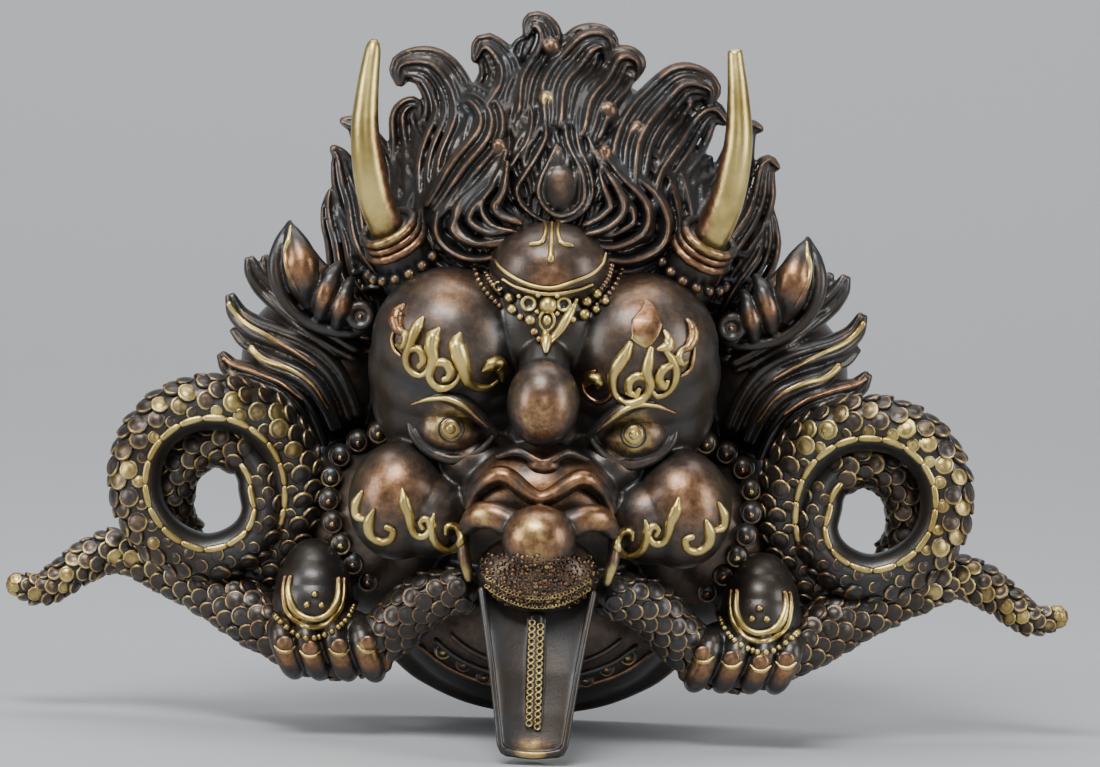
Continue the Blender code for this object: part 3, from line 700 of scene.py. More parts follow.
# Ridges round the drop in the middle of the forelocks: keys (x, high) and half width.
DROP_LINES = (
    (((4, 607), (-3, 590), (-10, 573), (-11, 559), (-3, 545), (10, 538), (25, 543), (34, 558), (31, 583),
      (17, 610), (13, 635), (15, 660), (24, 674)), 3.4),
    (((0, 531), (-14, 537), (-27, 548), (-33, 563), (-25, 579), (-14, 598), (-6, 618), (-8, 640)), 3.4),
    (((8, 531), (22, 535), (35, 545), (42, 562), (39, 583), (27, 610), (24, 638), (29, 664), (38, 684)), 3.2),
    (((-38, 552), (-46, 570), (-36, 592), (-24, 612), (-20, 636), (-26, 656)), 3.0),
    (((49, 556), (54, 574), (46, 597), (36, 620), (35, 644), (42, 662)), 3.0),
)

# Flames at each side of the head, given for the viewer's right: the same columns.
FLANK = (
    (((206, 424), (228, 432), (252, 450), (271, 468), (282, 489)), 20, 3),
    (((190, 396), (206, 404), (232, 420), (256, 438), (277, 456), (291, 472), (297, 486)), 26, 6),
    (((190, 336), (198, 356), (211, 378), (234, 397), (263, 409), (289, 418), (307, 431), (315, 448)), 26, 8),
    (((206, 334), (222, 368), (244, 387), (269, 397), (296, 402), (312, 415)), 17, 5),
    (((206, 322), (216, 344), (232, 365), (253, 377), (275, 385), (291, 397)), 19, 13),
    (((222, 306), (231, 328), (243, 346), (262, 361), (288, 371), (311, 376), (322, 389)), 26, 9),
)
BLADE_TAPER = ((0.0, 0.75), (0.4, 1.0), (0.8, 0.95), (0.93, 0.72), (1.0, 0.45))
# The bright lower edges of three flames, from the tip: keys (x, high), half widths and brass.
FLANK_EDGES = (
    (((316, 441), (308, 430), (296, 420), (276, 410), (252, 397), (228, 382)), (3.2, 3.0, 2.6, 2.0, 1.2),
     (0.95, 0.7, 0.4, 0.2)),
    (((292, 397), (284, 389), (274, 384), (252, 377), (230, 363), (214, 340)), (4.4, 3.8, 3.0, 2.4, 1.6),
     (0.95, 0.8, 0.4, 0.2)),
    (((320, 386), (310, 380), (289, 374), (262, 363), (240, 348)), (2.4, 2.8, 2.4, 1.4), (0.35, 0.2, 0.1)),
)

# Strands combed out from the hairline under the locks: how many, and their wave.
UNDER_STRANDS = 66
UNDER_WAVE = 8.0

# Curled ends that stand forward among the flames: x, high, size.
KNOBS = ((-3, 709, 8), (-7, 655, 8), (55, 645, 9), (-52, 606, 7), (53, 604, 6), (84, 628, 8))


def crown_clay():
    clay = Clay()
    for number, degrees in enumerate(np.linspace(-112, 112, UNDER_STRANDS)):
        turn = math.radians(degrees)
        heading = np.array([math.sin(turn), math.cos(turn)])
        away = np.linspace(0, 1, 26)[:, None]
        line = [3, 470] + heading * (52 + away * 128) * [1.06, 1.12]
        line = line + UNDER_WAVE * np.sin(away * 7 + number * 0.35) * [heading[1], -heading[0]]
        route = [spot(x, high, ground(x, high) + 3.5 * (number % 2)) for x, high in line]
        bar(clay, route, (3.0, 5.0, 5.8), flat=1.4, sides=12, keel=0.4)
    for row in CROWN:
        lock(clay, *row)
    for side in BOTH_SIDES:
        for keys, width, lift in FORELOCKS:
            lock(clay, [(3 + side * (x - 3), high) for x, high in keys], width, lift)
    # The smooth drop in the middle and the ridges round it.
    blob(clay, spot(10, 562, ground(10, 562) + 4), (22, 27, 12), sides=40, rings=25)
    blob(clay, spot(7, 585, ground(7, 585) + 4), (11, 24, 12), sides=40, rings=25)
    for keys, wide in DROP_LINES:
        route = [spot(x, high, ground(x, high) + 15) for x, high in keys]
        bar(clay, smooth_route(route, 80), (wide * 0.7, wide, wide, wide * 0.8), flat=1.7, sides=14, keel=0.4)
    for x, high, size in KNOBS:
        far = ground(x, high)
        route = [spot(x + 9, high - 44, far + 4), spot(x + 6, high - 22, far + 14), spot(x, high, far + 24)]
        bar(clay, smooth_route(route, 14), (size * 0.6, size * 0.9, size * 1.15), sides=20, facing=(1, 0, 0))
    return clay


def blade(clay, keys, width, lift):
    """One flat flame of two ribs along a smooth line through (x, high) keys."""
    line, sideways = lock_line(keys)
    taper = np.interp(np.linspace(0, 1, LOCK_STEPS), *zip(*BLADE_TAPER))
    for place in BOTH_SIDES:
        route = laid_route(line + place * width * 0.23 * taper[:, None] * sideways, 8, lift + place)
        bar(clay, route, width * 0.285 * taper, flat=1.25, sides=18, keel=0.25)


def flank_clay(side):
    clay = Clay()
    for keys, width, lift in FLANK:
        blade(clay, on_side(side, keys), width, lift)
    return clay


def mirrored(side):
    """spot() with its distance counted towards one side."""
    return lambda x, high, out: spot(side * x, high, out)


def ear_clay(side):
    at = mirrored(side)
    clay = Clay()
    bar(clay, smooth_route([at(190, 430, 92), at(218, 442, 94), at(242, 464, 94), at(253, 504, 88)], 20),
        (16, 28, 32, 14), flat=0.5, sides=24)
    rim = [at(168, 427, 102), at(178, 419, 106), at(195, 415, 110), at(218, 418, 112), at(239, 427, 114),
           at(256, 442, 116), at(266, 460, 116), at(270, 482, 114), at(266, 503, 108), at(257, 524, 98)]
    bar(clay, smooth_route(rim, 44), (3, 4.5, 5.5, 6, 6, 7, 8, 8, 6.5, 3), sides=14)
    petal = [at(236, 446, 114), at(242, 466, 121), at(246, 490, 120), at(252, 510, 112), at(256, 522, 102)]
    bar(clay, smooth_route(petal, 28), (9, 16.5, 18.5, 12, 3.0), flat=0.95, sides=30)
    outer_fold = [at(207, 484, 108), at(213, 472, 119), at(219, 455, 124), at(224, 434, 117)]
    bar(clay, smooth_route(outer_fold, 22), (4.5, 10, 11, 7.5), sides=18)
    inner_fold = [at(195, 468, 108), at(199, 458, 118), at(203, 442, 123), at(207, 425, 116)]
    bar(clay, smooth_route(inner_fold, 22), (4.5, 9, 10, 7), sides=18)
    blob(clay, at(184, 434, 108), (15, 15, 16))
    bar(clay, curl_route(at(184, 433, 122), 10.5, 10.5, 0, 1.0, 30), 4.2, sides=12)
    return clay


def ear_marks(clay, skin, side):
    """The bright fold of the ear's petal and the dot in its curl."""
    fold = [(256, 521), (257, 508), (260, 496), (259, 482), (254, 468), (246, 455)]
    bar(clay, skin.route(on_side(side, fold), 34, 1.2), (1.0, 3.0, 2.6, 2.4, 2.2, 1.0), flat=0.7, sides=12,
        brass=(1.0, 0.9, 0.5, 0.35, 0.3, 0.1), copper=(1.0, 1.0, 1.0, 0.8, 0.7, 0.4))
    blob(clay, skin.on(side * 184, 432, 0.5), (3.0, 3.0, 3.0), brass=0.35, copper=0.9)


def horn_frame(side):
    """The horn's line in units, from the floor of its socket to its tip, and its direction at the foot."""
    keys = [spot(side * x, high, out) for x, high, out in
            ((146, 500, 132), (160, 522, 143), (175, 560, 156), (184, 613, 164), (183, 659, 160),
             (178, 708, 150))]
    route = smooth_route(keys, 18)
    along = route[3] - route[0]
    return route, along / np.linalg.norm(along)


HORN_FOOT_RADIUS = 0.0053
COLLAR_WALL = 0.0030
COLLAR_ROPE_RADIUS = 0.0018
SOCKET_DEPTH = 0.0090


def collar(clay, beads, side):
    """The boss and the rope rings that the horn stands in, with a ring of beads below."""
    route, along = horn_frame(side)
    mouth = route[0] + along * SOCKET_DEPTH / UNIT
    wide = (HORN_FOOT_RADIUS + COLLAR_WALL) / UNIT
    boss = [mouth - along * down for down in (SOCKET_DEPTH / UNIT + 34, 20, 1.5)]
    bar(clay, smooth_route(boss, 8), (wide * 1.25, wide * 1.1, wide * 0.97), sides=32, capped=False)
    across = np.cross(along, FRONT)
    across /= np.linalg.norm(across)
    ahead = np.cross(across, along)
    rope = COLLAR_ROPE_RADIUS / UNIT
    angle = np.linspace(0, 2 * math.pi, 65)[:, None]
    ahead_share = ramp(np.sin(angle[:, 0]), 0.1, 0.95)
    for down, grow, thin, gilt in ((2, 0.98, 0.78, 0.48), (11, 1.02, 0.62, 0.18), (20, 1.06, 0.85, 0.26)):
        loop = mouth - along * down + wide * grow * (np.cos(angle) * across + np.sin(angle) * ahead)
        wave = rope * thin * (1 + 0.06 * np.sin(np.linspace(0, 30 * math.pi, 65)))
        bar(clay, loop, wave, sides=14, brass=gilt * ahead_share, copper=0.25 + 0.5 * ahead_share)
    for degrees in range(4, 184, 22):
        turn = math.radians(degrees)
        outward = math.cos(turn) * across + math.sin(turn) * ahead
        beads.put(mouth - along * 38 + wide * 1.42 * outward, outward, along, 5.8, 0.12)


# The jewels that hang from the band: x, high, size, kind, worn.
JEWELS = (
    (1.7, 449.3, 8.0, "bead", 1.0), (-17.4, 450, 7.4, "ring", 0.9), (17, 450.4, 7.0, "ring", 0.9),
    (-47.9, 466.3, 4.6, "ring", 0.8), (-36.7, 455.1, 5.0, "bead", 0.7), (-33.8, 443.7, 4.8, "bead", 0.7),
    (-25.3, 436.4, 3.4, "bead", 0.4), (-15.6, 433.5, 5.0, "bead", 0.8), (-11.4, 422.1, 4.0, "bead", 0.4),
    (49.2, 461.6, 4.8, "bead", 0.9), (39.2, 453.7, 5.4, "bead", 0.9), (37.7, 440.8, 5.4, "bead", 0.9),
    (49.1, 446.3, 3.8, "bead", 0.6), (26.4, 435.4, 3.6, "bead", 0.7), (58, 455, 4.0, "bead", 0.4),
    (-8.5, 458.5, 2.4, "bead", 0.6), (10.5, 458.5, 2.4, "bead", 0.6), (-27, 457, 2.6, "bead", 0.5),
    (-9, 442, 2.4, "bead", 0.6), (11, 441, 2.4, "bead", 0.6), (-6, 415, 3.2, "bead", 0.3),
)
# The two chains of small beads that frame the jewels, on one side.
BEAD_CHAINS = (
    ((74, 493), (71, 482), (67, 471), (57.5, 458), (46, 447)),
    ((63, 490), (60, 478), (53, 467), (46, 459)),
)
CHAIN_BEADS = 11
# The two lines of the band.
BAND_LINES = (
    ((-55, 501), (-49, 487), (-36, 477), (-20.6, 469.5), (-5, 466), (8, 466.5), (21.5, 471), (43, 480.5),
     (54, 491), (57, 502)),
    ((-43.7, 473), (-29.4, 465.6), (-10, 461), (9, 460.4), (30.6, 465), (44.5, 470.5)),
)
BAND_THICK = 2.1


def forehead_marks(clay, beads, rings, skin):
    """The three-pronged mark on the dome, the jewelled band round it and its drop."""
    for side in BOTH_SIDES:
        keys = [(3 + side * 7, 534), (3 + side * 6, 522), (3 + side * 10, 511), (3 + side * 20, 509)]
        bar(clay, skin.route(keys, 14, 1.5), (1.8, 2.4, 2.6, 2.2), brass=0.95)
    bar(clay, skin.route([(3, 531), (3, 512), (3, 494)], 12, 1.5), (1.8, 2.4, 3.8), brass=0.95)
    for keys in BAND_LINES:
        bar(clay, skin.route(keys, 44, 2.4, 3), (BAND_THICK * 0.7, BAND_THICK, BAND_THICK, BAND_THICK * 0.7),
            brass=0.95, copper=1.0)
    for side in BOTH_SIDES:
        for keys in BEAD_CHAINS:
            for place in skin.route(on_side(side, keys), CHAIN_BEADS, 2.2):
                beads.put(place, FRONT, (0, 0, 1), 3.4, 0.08)
    for x, high, size, kind, worn in JEWELS:
        kind = rings if kind == "ring" else beads
        kind.put(skin.on(x, high, 3.0 + size * 0.3), FRONT, (0, 0, 1), size * 1.16, worn)
    drop = skin.out(1, 434)
    blob(clay, spot(1, 434, drop + 2.5), (4.2, 5.6, 4.0), brass=0.95, copper=1.0)
    loop = [(1 + 7.2 * math.cos(a), 433.5 + 9.6 * math.sin(a)) for a in np.linspace(0, 2 * math.pi, 33)]
    bar(clay, [spot(x, high, drop + 2.0) for x, high in loop], 1.7, brass=0.7, copper=1.0)
    bar(clay, skin.route([(0, 421), (1, 415), (1, 410), (1, 403)], 12, 3.4), (4.4, 6.6, 5.4, 2.4), brass=0.9,
        copper=1.0)
    # The branch that is chipped on the viewer's right, from the ring's outer edge to the drop.
    branch = [(29, 455), (25, 445), (19.5, 434), (16, 427), (9, 418), (4, 412)]
    bar(clay, skin.route(branch, 30, 4.0), (2.4, 4.2, 5.6, 5.0, 4.2, 3.0), sides=14, brass=0.9, copper=1.0)


def head_clay():
    clay = Clay()
    for (cx, ch, co), size in SWELLS:
        blob(clay, spot(cx, ch, co), size, sides=72, rings=47)
    blob(clay, spot(3, 487, 172), (61, 47, 60), sides=48, rings=31)
    for side in BOTH_SIDES:
        at = mirrored(side)
        blob(clay, at(93, 409, 160), (79, 76, 78), sides=64, rings=41)
        blob(clay, at(93, 386, 151), (82, 78, 76), sides=64, rings=41)
        blob(clay, at(92, 360, 140), (80, 76, 74), sides=64, rings=41)
        blob(clay, at(62, 292, 176), (42, 34, 46), sides=40, rings=25)
        blob(clay, at(140, 250, 186), (50, 59, 52), sides=56, rings=35)
        blob(clay, at(108, 238, 188), (44, 44, 46), sides=40, rings=25)
    blob(clay, spot(0, 425, 178), (62, 54, 47), sides=48, rings=31)
    root = [spot(0, 356, 240), spot(0, 384, 224), spot(0, 412, 206)]
    bar(clay, smooth_route(root, 14), (26, 26, 20), sides=32)
    blob(clay, spot(0, 352, 244), (36, 44, 39), sides=48, rings=31)
    blob(clay, spot(0, 262, 205), (78, 50, 62), sides=48, rings=31)
    blob(clay, spot(0, 184, 248), (60, 40, 46), sides=48, rings=31)
    rim = []
    for x in (-135, -110, -60, 0, 60, 110, 135):
        rim.append(spot(x, 150 - 98 * math.sqrt(1 - (x / 160) ** 2), 36))
    bar(clay, smooth_route(rim, 40), (12, 14, 15, 14, 12), sides=20)
    return clay


def folds_clay():
    """The eyeballs and lids, the wrinkles and bulb of the nose, its wings and the lips."""
    clay = Clay()
    for side in BOTH_SIDES:
        at = mirrored(side)
        blob(clay, at(90, 323, 190), (37, 26, 33), turn=side * 8, sides=40, rings=25)
        lid = [at(132, 344, 192), at(116, 354, 206), at(97, 356, 218), at(76, 347, 224), at(58, 332, 222),
               at(46, 321, 214)]
        bar(clay, smooth_route(lid, 30), (4, 7, 8, 8, 6.5, 3.5), sides=18, keel=0.3)
        under = [at(132, 342, 190), at(128, 318, 198), at(110, 300, 204), at(86, 293, 210), at(64, 300, 214),
                 at(46, 319, 212)]
        bar(clay, smooth_route(under, 30), (3.5, 5, 6, 6, 5, 3), sides=16)
        wing = [at(14, 224, 292), at(42, 238, 286), at(60, 238, 276), at(71, 227, 262)]
        bar(clay, smooth_route(wing, 26), (15, 14, 14, 9), sides=28)
        lip = [at(73, 228, 248), at(74, 204, 260), at(68, 176, 264)]
        bar(clay, smooth_route(lip, 14), (4.5, 6.5, 7, 4.5), sides=14, keel=0.2)
    blob(clay, spot(2, 290, 246), (17, 11, 15), sides=24, rings=15)
    ridge = [spot(x, high, 270 - far) for x, high, far in
             ((-70, 248, 30), (-58, 268, 14), (-36, 279, 2), (0, 257, 0), (38, 278, 2), (58, 268, 14),
              (70, 248, 30))]
    bar(clay, smooth_route(ridge, 50), (6, 10, 9, 10, 6), sides=22, keel=0.15)
    upper = [spot(x, high, out) for x, high, out in
             ((-44, 297, 232), (-22, 303, 246), (2, 293, 256), (24, 303, 246), (46, 297, 232))]
    bar(clay, smooth_route(upper, 30), (2.5, 5, 4.5, 5, 2.5), sides=16)
    blob(clay, spot(0, 218, 296), (37, 33, 36), sides=48, rings=31)
    return clay


# The hollow of the back, behind the face.
HOLLOW_WIDTH = 0.078
HOLLOW_HEIGHT = 0.104
HOLLOW_DEPTH = 0.034
HOLLOW_HIGH = 325.0


def flat_back(points):
    """Presses what lies behind the wall's plane flat, and into a dome where the back is hollow."""
    behind = points[:, 1] > 0
    across = points[:, 0] * UNIT / (HOLLOW_WIDTH / 2)
    up = (points[:, 2] - HOLLOW_HIGH) * UNIT / (HOLLOW_HEIGHT / 2)
    inside = np.clip(1 - across ** 2 - up ** 2, 0, 1)
    pressed = -np.sqrt(inside) * HOLLOW_DEPTH / UNIT
    return np.column_stack([points[:, 0], np.where(behind, pressed, points[:, 1]), points[:, 2]])


# Where the head is rubbed bright: x, high, radius, share. A pair of signs is put on each side.
COPPER_PATCHES = (
    (92, 462, 40, 0.60), (150, 400, 34, 0.35), (146, 262, 42, 0.80), (108, 268, 26, 0.45),
    (58, 238, 26, 1.0), (74, 200, 20, 0.5), (90, 323, 34, 0.80), (40, 276, 26, 0.95), (160, 330, 24, 0.3),
)
BRASS_PATCHES = (
    (60, 236, 18, 0.42), (74, 182, 16, 0.72), (92, 325, 30, 0.60), (150, 256, 22, 0.16),
)
MIDDLE_COPPER = ((3, 474, 32, 0.80), (0, 340, 36, 0.85), (-3, 218, 42, 1.0), (0, 258, 34, 0.95),
                 (2, 292, 24, 0.65), (0, 246, 60, 0.45))
MIDDLE_BRASS = ((-3, 222, 28, 0.50), (-3, 204, 26, 0.46), (0, 258, 24, 0.22), (-8, 334, 24, 0.34))


def both(rows):
    return [(side * x, *rest) for x, *rest in rows for side in BOTH_SIDES]


def paint(mesh, rounds, crest, copper_rows=(), brass_rows=(), crest_copper=0.5, crest_brass=0.0, dull=0.0):
    """Rubs a fused mesh bright on its crests and in patches, and leaves its grooves dark. The rubbed metal is
    kept to faces turned to the front and upward: partly wear, partly a painted highlight where the light from
    above falls.
    """
    points, normals, edges = read_mesh(mesh)
    height = proud(points, normals, edges, rounds)
    low, high = crest
    ridge = ramp(height, low, high)
    groove = ramp(-height, -0.1, high * 0.6)
    keep = (1 - 0.85 * groove) * (1 - dull)
    # Faces turned front and upward keep more copper and brass: partly wear, partly a painted highlight from
    # the light above and in front.
    forward = ramp(-normals[:, 1] + 0.4 * normals[:, 2], -0.1, 0.7)
    copper = np.maximum(patches(points, copper_rows), crest_copper * ridge) * keep * forward
    brass = np.maximum(patches(points, brass_rows), crest_brass * ridge) * keep * forward
    write_shares(mesh, brass, copper)


# The serpent's coil by degrees round from its face side over the top: distance of the middle line
# from the coil's centre, the centre (x, high), how far it stands out, the body's radius and its wear.
COIL = (
    (-85, 104, 330, 256, 70, 24, 0.2),
    (-55, 98, 330, 260, 78, 24, 0.25),
    (0, 86, 330, 266, 92, 27, 0.40),
    (50, 78, 329, 266, 100, 27, 0.62),
    (90, 74, 329, 266, 104, 27, 0.98),
    (180, 73, 329, 266, 108, 27, 1.0),
    (270, 76, 329, 264, 106, 25, 1.0),
    (310, 67, 328, 261, 102, 24, 0.80),
    (360, 47, 326, 253, 92, 23, 0.35),
    (450, 50, 323, 252, 80, 23, 0.75),
    (540, 46, 322, 248, 64, 21, 0.60),
    (600, 50, 322, 246, 44, 17, 0.20),
)

# The serpent's other run, from the mouth through the fist to its tail: x, high, out, radius and wear.
TAIL_RUN = (
    (66, 166, 215, 20, 0.30), (108, 154, 195, 24, 0.45), (142, 122, 168, 24, 0.40), (176, 98, 148, 23, 0.3),
    (216, 96, 138, 23, 0.2), (262, 118, 118, 25, 0.5), (322, 152, 88, 27, 0.35), (376, 176, 66, 25, 0.4),
    (412, 190, 56, 23, 0.6), (440, 184, 56, 21, 0.85), (468, 166, 58, 18.5, 0.9), (495, 148, 58, 15.5, 0.95),
    (518, 152, 56, 11, 1.0),
)
COIL_STEPS = 170
RUN_STEPS = 120
SCALE_SIZE = 10.6
SCALE_ROW = 1.16
SCALE_PITCH = 2.0
TIP_SCALE = 6.2
SCALE_TILT = 0.24
FIRST_ROW = 6.0
LAST_GAP = 2.0
# The scales next to the belly plates: how far from them in degrees, and their share of the full size.
RIM_GAP = 15.0
RIM_SCALE = 0.64
# Degrees round a body that scales cover, of which 90 faces the viewer.
SCALED_ROUND = (-40.0, 220.0)
OUTER_END = {1: 212.0, -1: -32.0}
BELLY_ANGLE = 68.0
BELLY_PLATE = 24.0
BELLY_LIFT = 1.4
INNER_SQUEEZE = 0.97
PLATE_GAP = 2.6
# The shares of the coil's length at which its belly plates start and end. Past them scales go right round.
BELLY_START = 0.10
BELLY_END = 0.79


def serpent_lines(side):
    """The coil's and the run's lines, their radii and wear."""
    degrees, away, centre_x, centre_high, out, body, wear = zip(*COIL)
    turn = np.linspace(degrees[0], degrees[-1], COIL_STEPS)
    distance, x, high, far, radii, worn = (np.interp(turn, degrees, column) for column in
                                           (away, centre_x, centre_high, out, body, wear))
    x = x - distance * np.cos(np.radians(turn))
    high = high + distance * np.sin(np.radians(turn))
    route = np.array([spot(side * a, b, c) for a, b, c in zip(x, high, far)])
    run = smooth_route([spot(side * a, b, c) for a, b, c, _, _ in TAIL_RUN], RUN_STEPS)
    *_, run_radii, run_worn = zip(*TAIL_RUN)
    return (smooth_route(route[::3], COIL_STEPS), radii, worn), \
           (run, spread(run_radii, RUN_STEPS), spread(run_worn, RUN_STEPS))


def tube(clay, route, radii, inward=0, sides=28):
    """A serpent's body: a bar, drawn in on the side that inward names."""
    along, across, normal = route_frames(route)
    angle = 2 * math.pi * np.arange(sides) / sides
    reach = np.cos(angle) * np.where(np.cos(angle) * inward > 0, INNER_SQUEEZE, 1.0)
    ring = reach[None, :, None] * across[:, None] + np.sin(angle)[None, :, None] * normal[:, None]
    centres = np.vstack([route, *(route[-1] + along[-1] * radii[-1] * far for far in (0.5, 0.85))])
    wide = np.concatenate([radii, radii[-1] * np.array([0.85, 0.5])])
    ring = np.concatenate([ring, ring[-1:], ring[-1:]])
    points = (centres[:, None] + wide[:, None, None] * ring).reshape(-1, 3)
    ends = [route[0] - along[0] * radii[0] * 0.4, route[-1] + along[-1] * radii[-1]]
    clay.add(np.vstack([points, ends]), *ring_faces(len(centres), sides), 0.02, 0.08)


def cover_scales(scales, route, radii, worn, size, angles, squeeze=0, rim=999.0):
    """Staggered scales over a tube, within a span of degrees where 90 faces the viewer. Those next to
    the rim's angle are smaller."""
    along, across, normal = route_frames(route)
    run = run_along(route)
    at = FIRST_ROW
    row = 0
    while at < run[-1] - LAST_GAP:
        index = np.interp(at, run, np.arange(len(route)))
        place = int(index)
        radius = np.interp(index, np.arange(len(route)), radii)
        grown = size * min(1.0, 0.35 + 0.65 * radius / 22)
        pitch = math.degrees(SCALE_PITCH * grown / radius)
        start, stop = angles
        step = math.copysign(pitch, stop - start)
        for degrees in np.arange(start + step / 2 * (row % 2), stop, step):
            cos, sin = math.cos(math.radians(degrees)), math.sin(math.radians(degrees))
            narrow = INNER_SQUEEZE if cos * squeeze > 0 else 1.0
            outward = cos * across[place] + sin * normal[place]
            spot_on = route[place] + radius * (cos * narrow * across[place] + sin * normal[place])
            tilted = outward - (SCALE_TILT + RANDOM.uniform(-0.07, 0.10)) * along[place]
            tilted = tilted + RANDOM.uniform(-0.10, 0.10, 3)
            # Scales turned away from the front get less brass and copper: partly wear, partly painted shade
            # on the sides turned from the light.
            bright = worn[place] * RANDOM.uniform(0.50, 1.12) * (0.35 + 0.65 * max(0.0, outward[1] * -1))
            shrunk = RIM_SCALE if abs(degrees - rim) < pitch * 0.8 else 1.0
            wide = grown * RANDOM.uniform(0.90, 1.08) * shrunk
            scales.put(spot_on + outward * 0.3, tilted, along[place], wide, min(1.0, bright))
        at += grown * SCALE_ROW
        row += 1


def cap_scales(scales, route, radii, worn, size):
    """Scales round the closed end of the tail."""
    along, across, normal = route_frames(route)
    for lean, count in ((0.35, 7), (0.85, 5), (1.35, 1)):
        for step in range(count):
            angle = 2 * math.pi * (step + 0.5 * (lean > 0.5)) / count
            ring = math.cos(angle) * across[-1] + math.sin(angle) * normal[-1]
            outward = math.cos(lean) * ring + math.sin(lean) * along[-1]
            place = route[-1] + radii[-1] * outward * 0.94
            scales.put(place, outward - 0.2 * along[-1], along[-1] - 0.4 * ring, size, worn[-1])


def belly_rim(clay, route, radii, worn, inward):
    """The row of belly plates that shows along a coil's inner edge."""
    _, across, normal = route_frames(route)
    turned = math.radians(BELLY_ANGLE)
    edge = route + (np.asarray(radii)[:, None] + BELLY_LIFT) * (
        math.cos(turned) * INNER_SQUEEZE * inward * across + math.sin(turned) * normal)
    run = run_along(edge)
    at = run[int(BELLY_START * (len(run) - 1))]
    stop = run[int(BELLY_END * (len(run) - 1))]
    while at < stop:
        span = np.linspace(at + PLATE_GAP, at + BELLY_PLATE - PLATE_GAP, 9)
        piece = places_along(edge, span)
        gilt = np.interp(at + BELLY_PLATE / 2, run, worn)
        bar(clay, piece, (3.4, 3.9, 3.9, 3.9, 3.4), sides=14, flat=0.9, brass=0.35 + 0.65 * gilt, copper=0.9)
        at += BELLY_PLATE


def serpent(side):
    """A serpent's body with its belly plates, and its scales."""
    (coil, coil_radii, coil_worn), (run, run_radii, run_worn) = serpent_lines(side)
    body = Clay()
    tube(body, coil, coil_radii, side)
    tube(body, run, run_radii)
    belly_rim(body, coil, coil_radii, coil_worn, side)
    scales = Scatter(SHAPES["scale"])
    rim = BELLY_ANGLE if side > 0 else 180 - BELLY_ANGLE
    span = (rim + side * RIM_GAP, OUTER_END[side])
    end = int(BELLY_END * len(coil))
    cover_scales(scales, coil[:end], coil_radii[:end], coil_worn[:end], SCALE_SIZE, span, side, rim)
    cover_scales(scales, coil[end:], coil_radii[end:], coil_worn[end:], SCALE_SIZE, SCALED_ROUND)
    cover_scales(scales, run, run_radii, run_worn, SCALE_SIZE, SCALED_ROUND)
    cap_scales(scales, run, run_radii, run_worn, TIP_SCALE)
    word = SIDE_WORDS[side]
    finish_piece("serpent_" + word, body.mesh("serpent_" + word))
    finish_piece("scales_" + word, scales.mesh("scales_" + word))


def fist_clay(side):
    at = mirrored(side)
    clay = Clay()
    blob(clay, at(222, 172, 124), (33, 37, 38), sides=48, rings=31)
    blob(clay, at(222, 160, 131), (38.5, 38, 42.5), sides=48, rings=31)
    blob(clay, at(222, 146, 136), (41, 38, 44), sides=48, rings=31)
    blob(clay, at(212, 118, 150), (56, 26, 34), sides=48, rings=31)
    for x, wide in ((252, 12), (227, 12.5), (199, 12.5), (172, 12.5)):
        finger = [at(x, 126, 160), at(x + 1, 114, 184), at(x - 2, 102, 188), at(x - 10, 84, 180),
                  at(x - 14, 77, 152)]
        bar(clay, smooth_route(finger, 24), (wide * 0.8, wide, wide, wide * 0.95, wide * 0.85), sides=20)
        blob(clay, at(x, 112, 188), (wide * 0.85, 8, 7))
    thumb = [at(160, 128, 150), at(152, 106, 168), at(150, 86, 166)]
    bar(clay, smooth_route(thumb, 16), (11, 12, 9), sides=18)
    return clay


# The row of beads round the fist's cuff, from its outer end: x and high on one side.
CUFF_BEADS = ((264, 136), (252, 124.6), (236.4, 113), (218.7, 110.8), (200.2, 118.7), (187.4, 130.6),
              (180.3, 147.1), (178, 162), (179, 172))
CUFF_BEAD = 3.8
CUFF_BEAD_PITCH = 8.8


def fist_marks(clay, beads, skin, side):
    """The double cuff, the beads round it and the three on the hand, and the nails."""
    for grow, thick, gilt in ((0, 4.3, 1.0), (7.6, 3.0, 0.7)):
        keys = [(245 + grow * 0.7, 170), (246.5 + grow * 0.7, 155), (241 + grow * 0.8, 139 - grow * 0.5),
                (232 + grow * 0.3, 131 - grow), (220, 128 - grow), (209 - grow * 0.3, 132 - grow),
                (201 - grow * 0.7, 141 - grow * 0.4), (197 - grow * 0.7, 152), (197 - grow * 0.7, 170)]
        line = skin.route(on_side(side, keys), 40, 1.2, 2)
        bar(clay, line, (thick * 0.7, thick, thick, thick, thick * 0.7), sides=14, flat=0.8,
            brass=(0.4, gilt, gilt, gilt, 0.4), copper=0.8)
    line = skin.route(on_side(side, CUFF_BEADS), 120, 1.6)
    length = run_along(line)[-1]
    steps = np.arange(0, length, CUFF_BEAD_PITCH)
    for place, share in zip(places_along(line, steps), steps / length):
        beads.put(place, FRONT, (0, 0, 1), CUFF_BEAD * (1 - 0.25 * share), 1.0 - 0.5 * share ** 2)
    for x, high in ((220, 154), (227.4, 143.3), (212.8, 143.2)):
        beads.put(skin.on(side * x, high, 1.4), FRONT, (0, 0, 1), 3.9, 0.7)
    for x, high in ((248, 96), (223, 92), (194, 95), (166, 99)):
        middle = skin.out(side * x, high + 7)
        blob(clay, spot(side * x, high + 8, middle - 1), (8.5, 8, 3.0), brass=0.1, copper=0.75)
        nail = [(x - 10, high + 5), (x - 4, high), (x + 4, high), (x + 10, high + 5)]
        bar(clay, skin.route(on_side(side, nail), 14, 1.0), (1.0, 2.2, 2.2, 1.0), brass=0.8, copper=0.9)


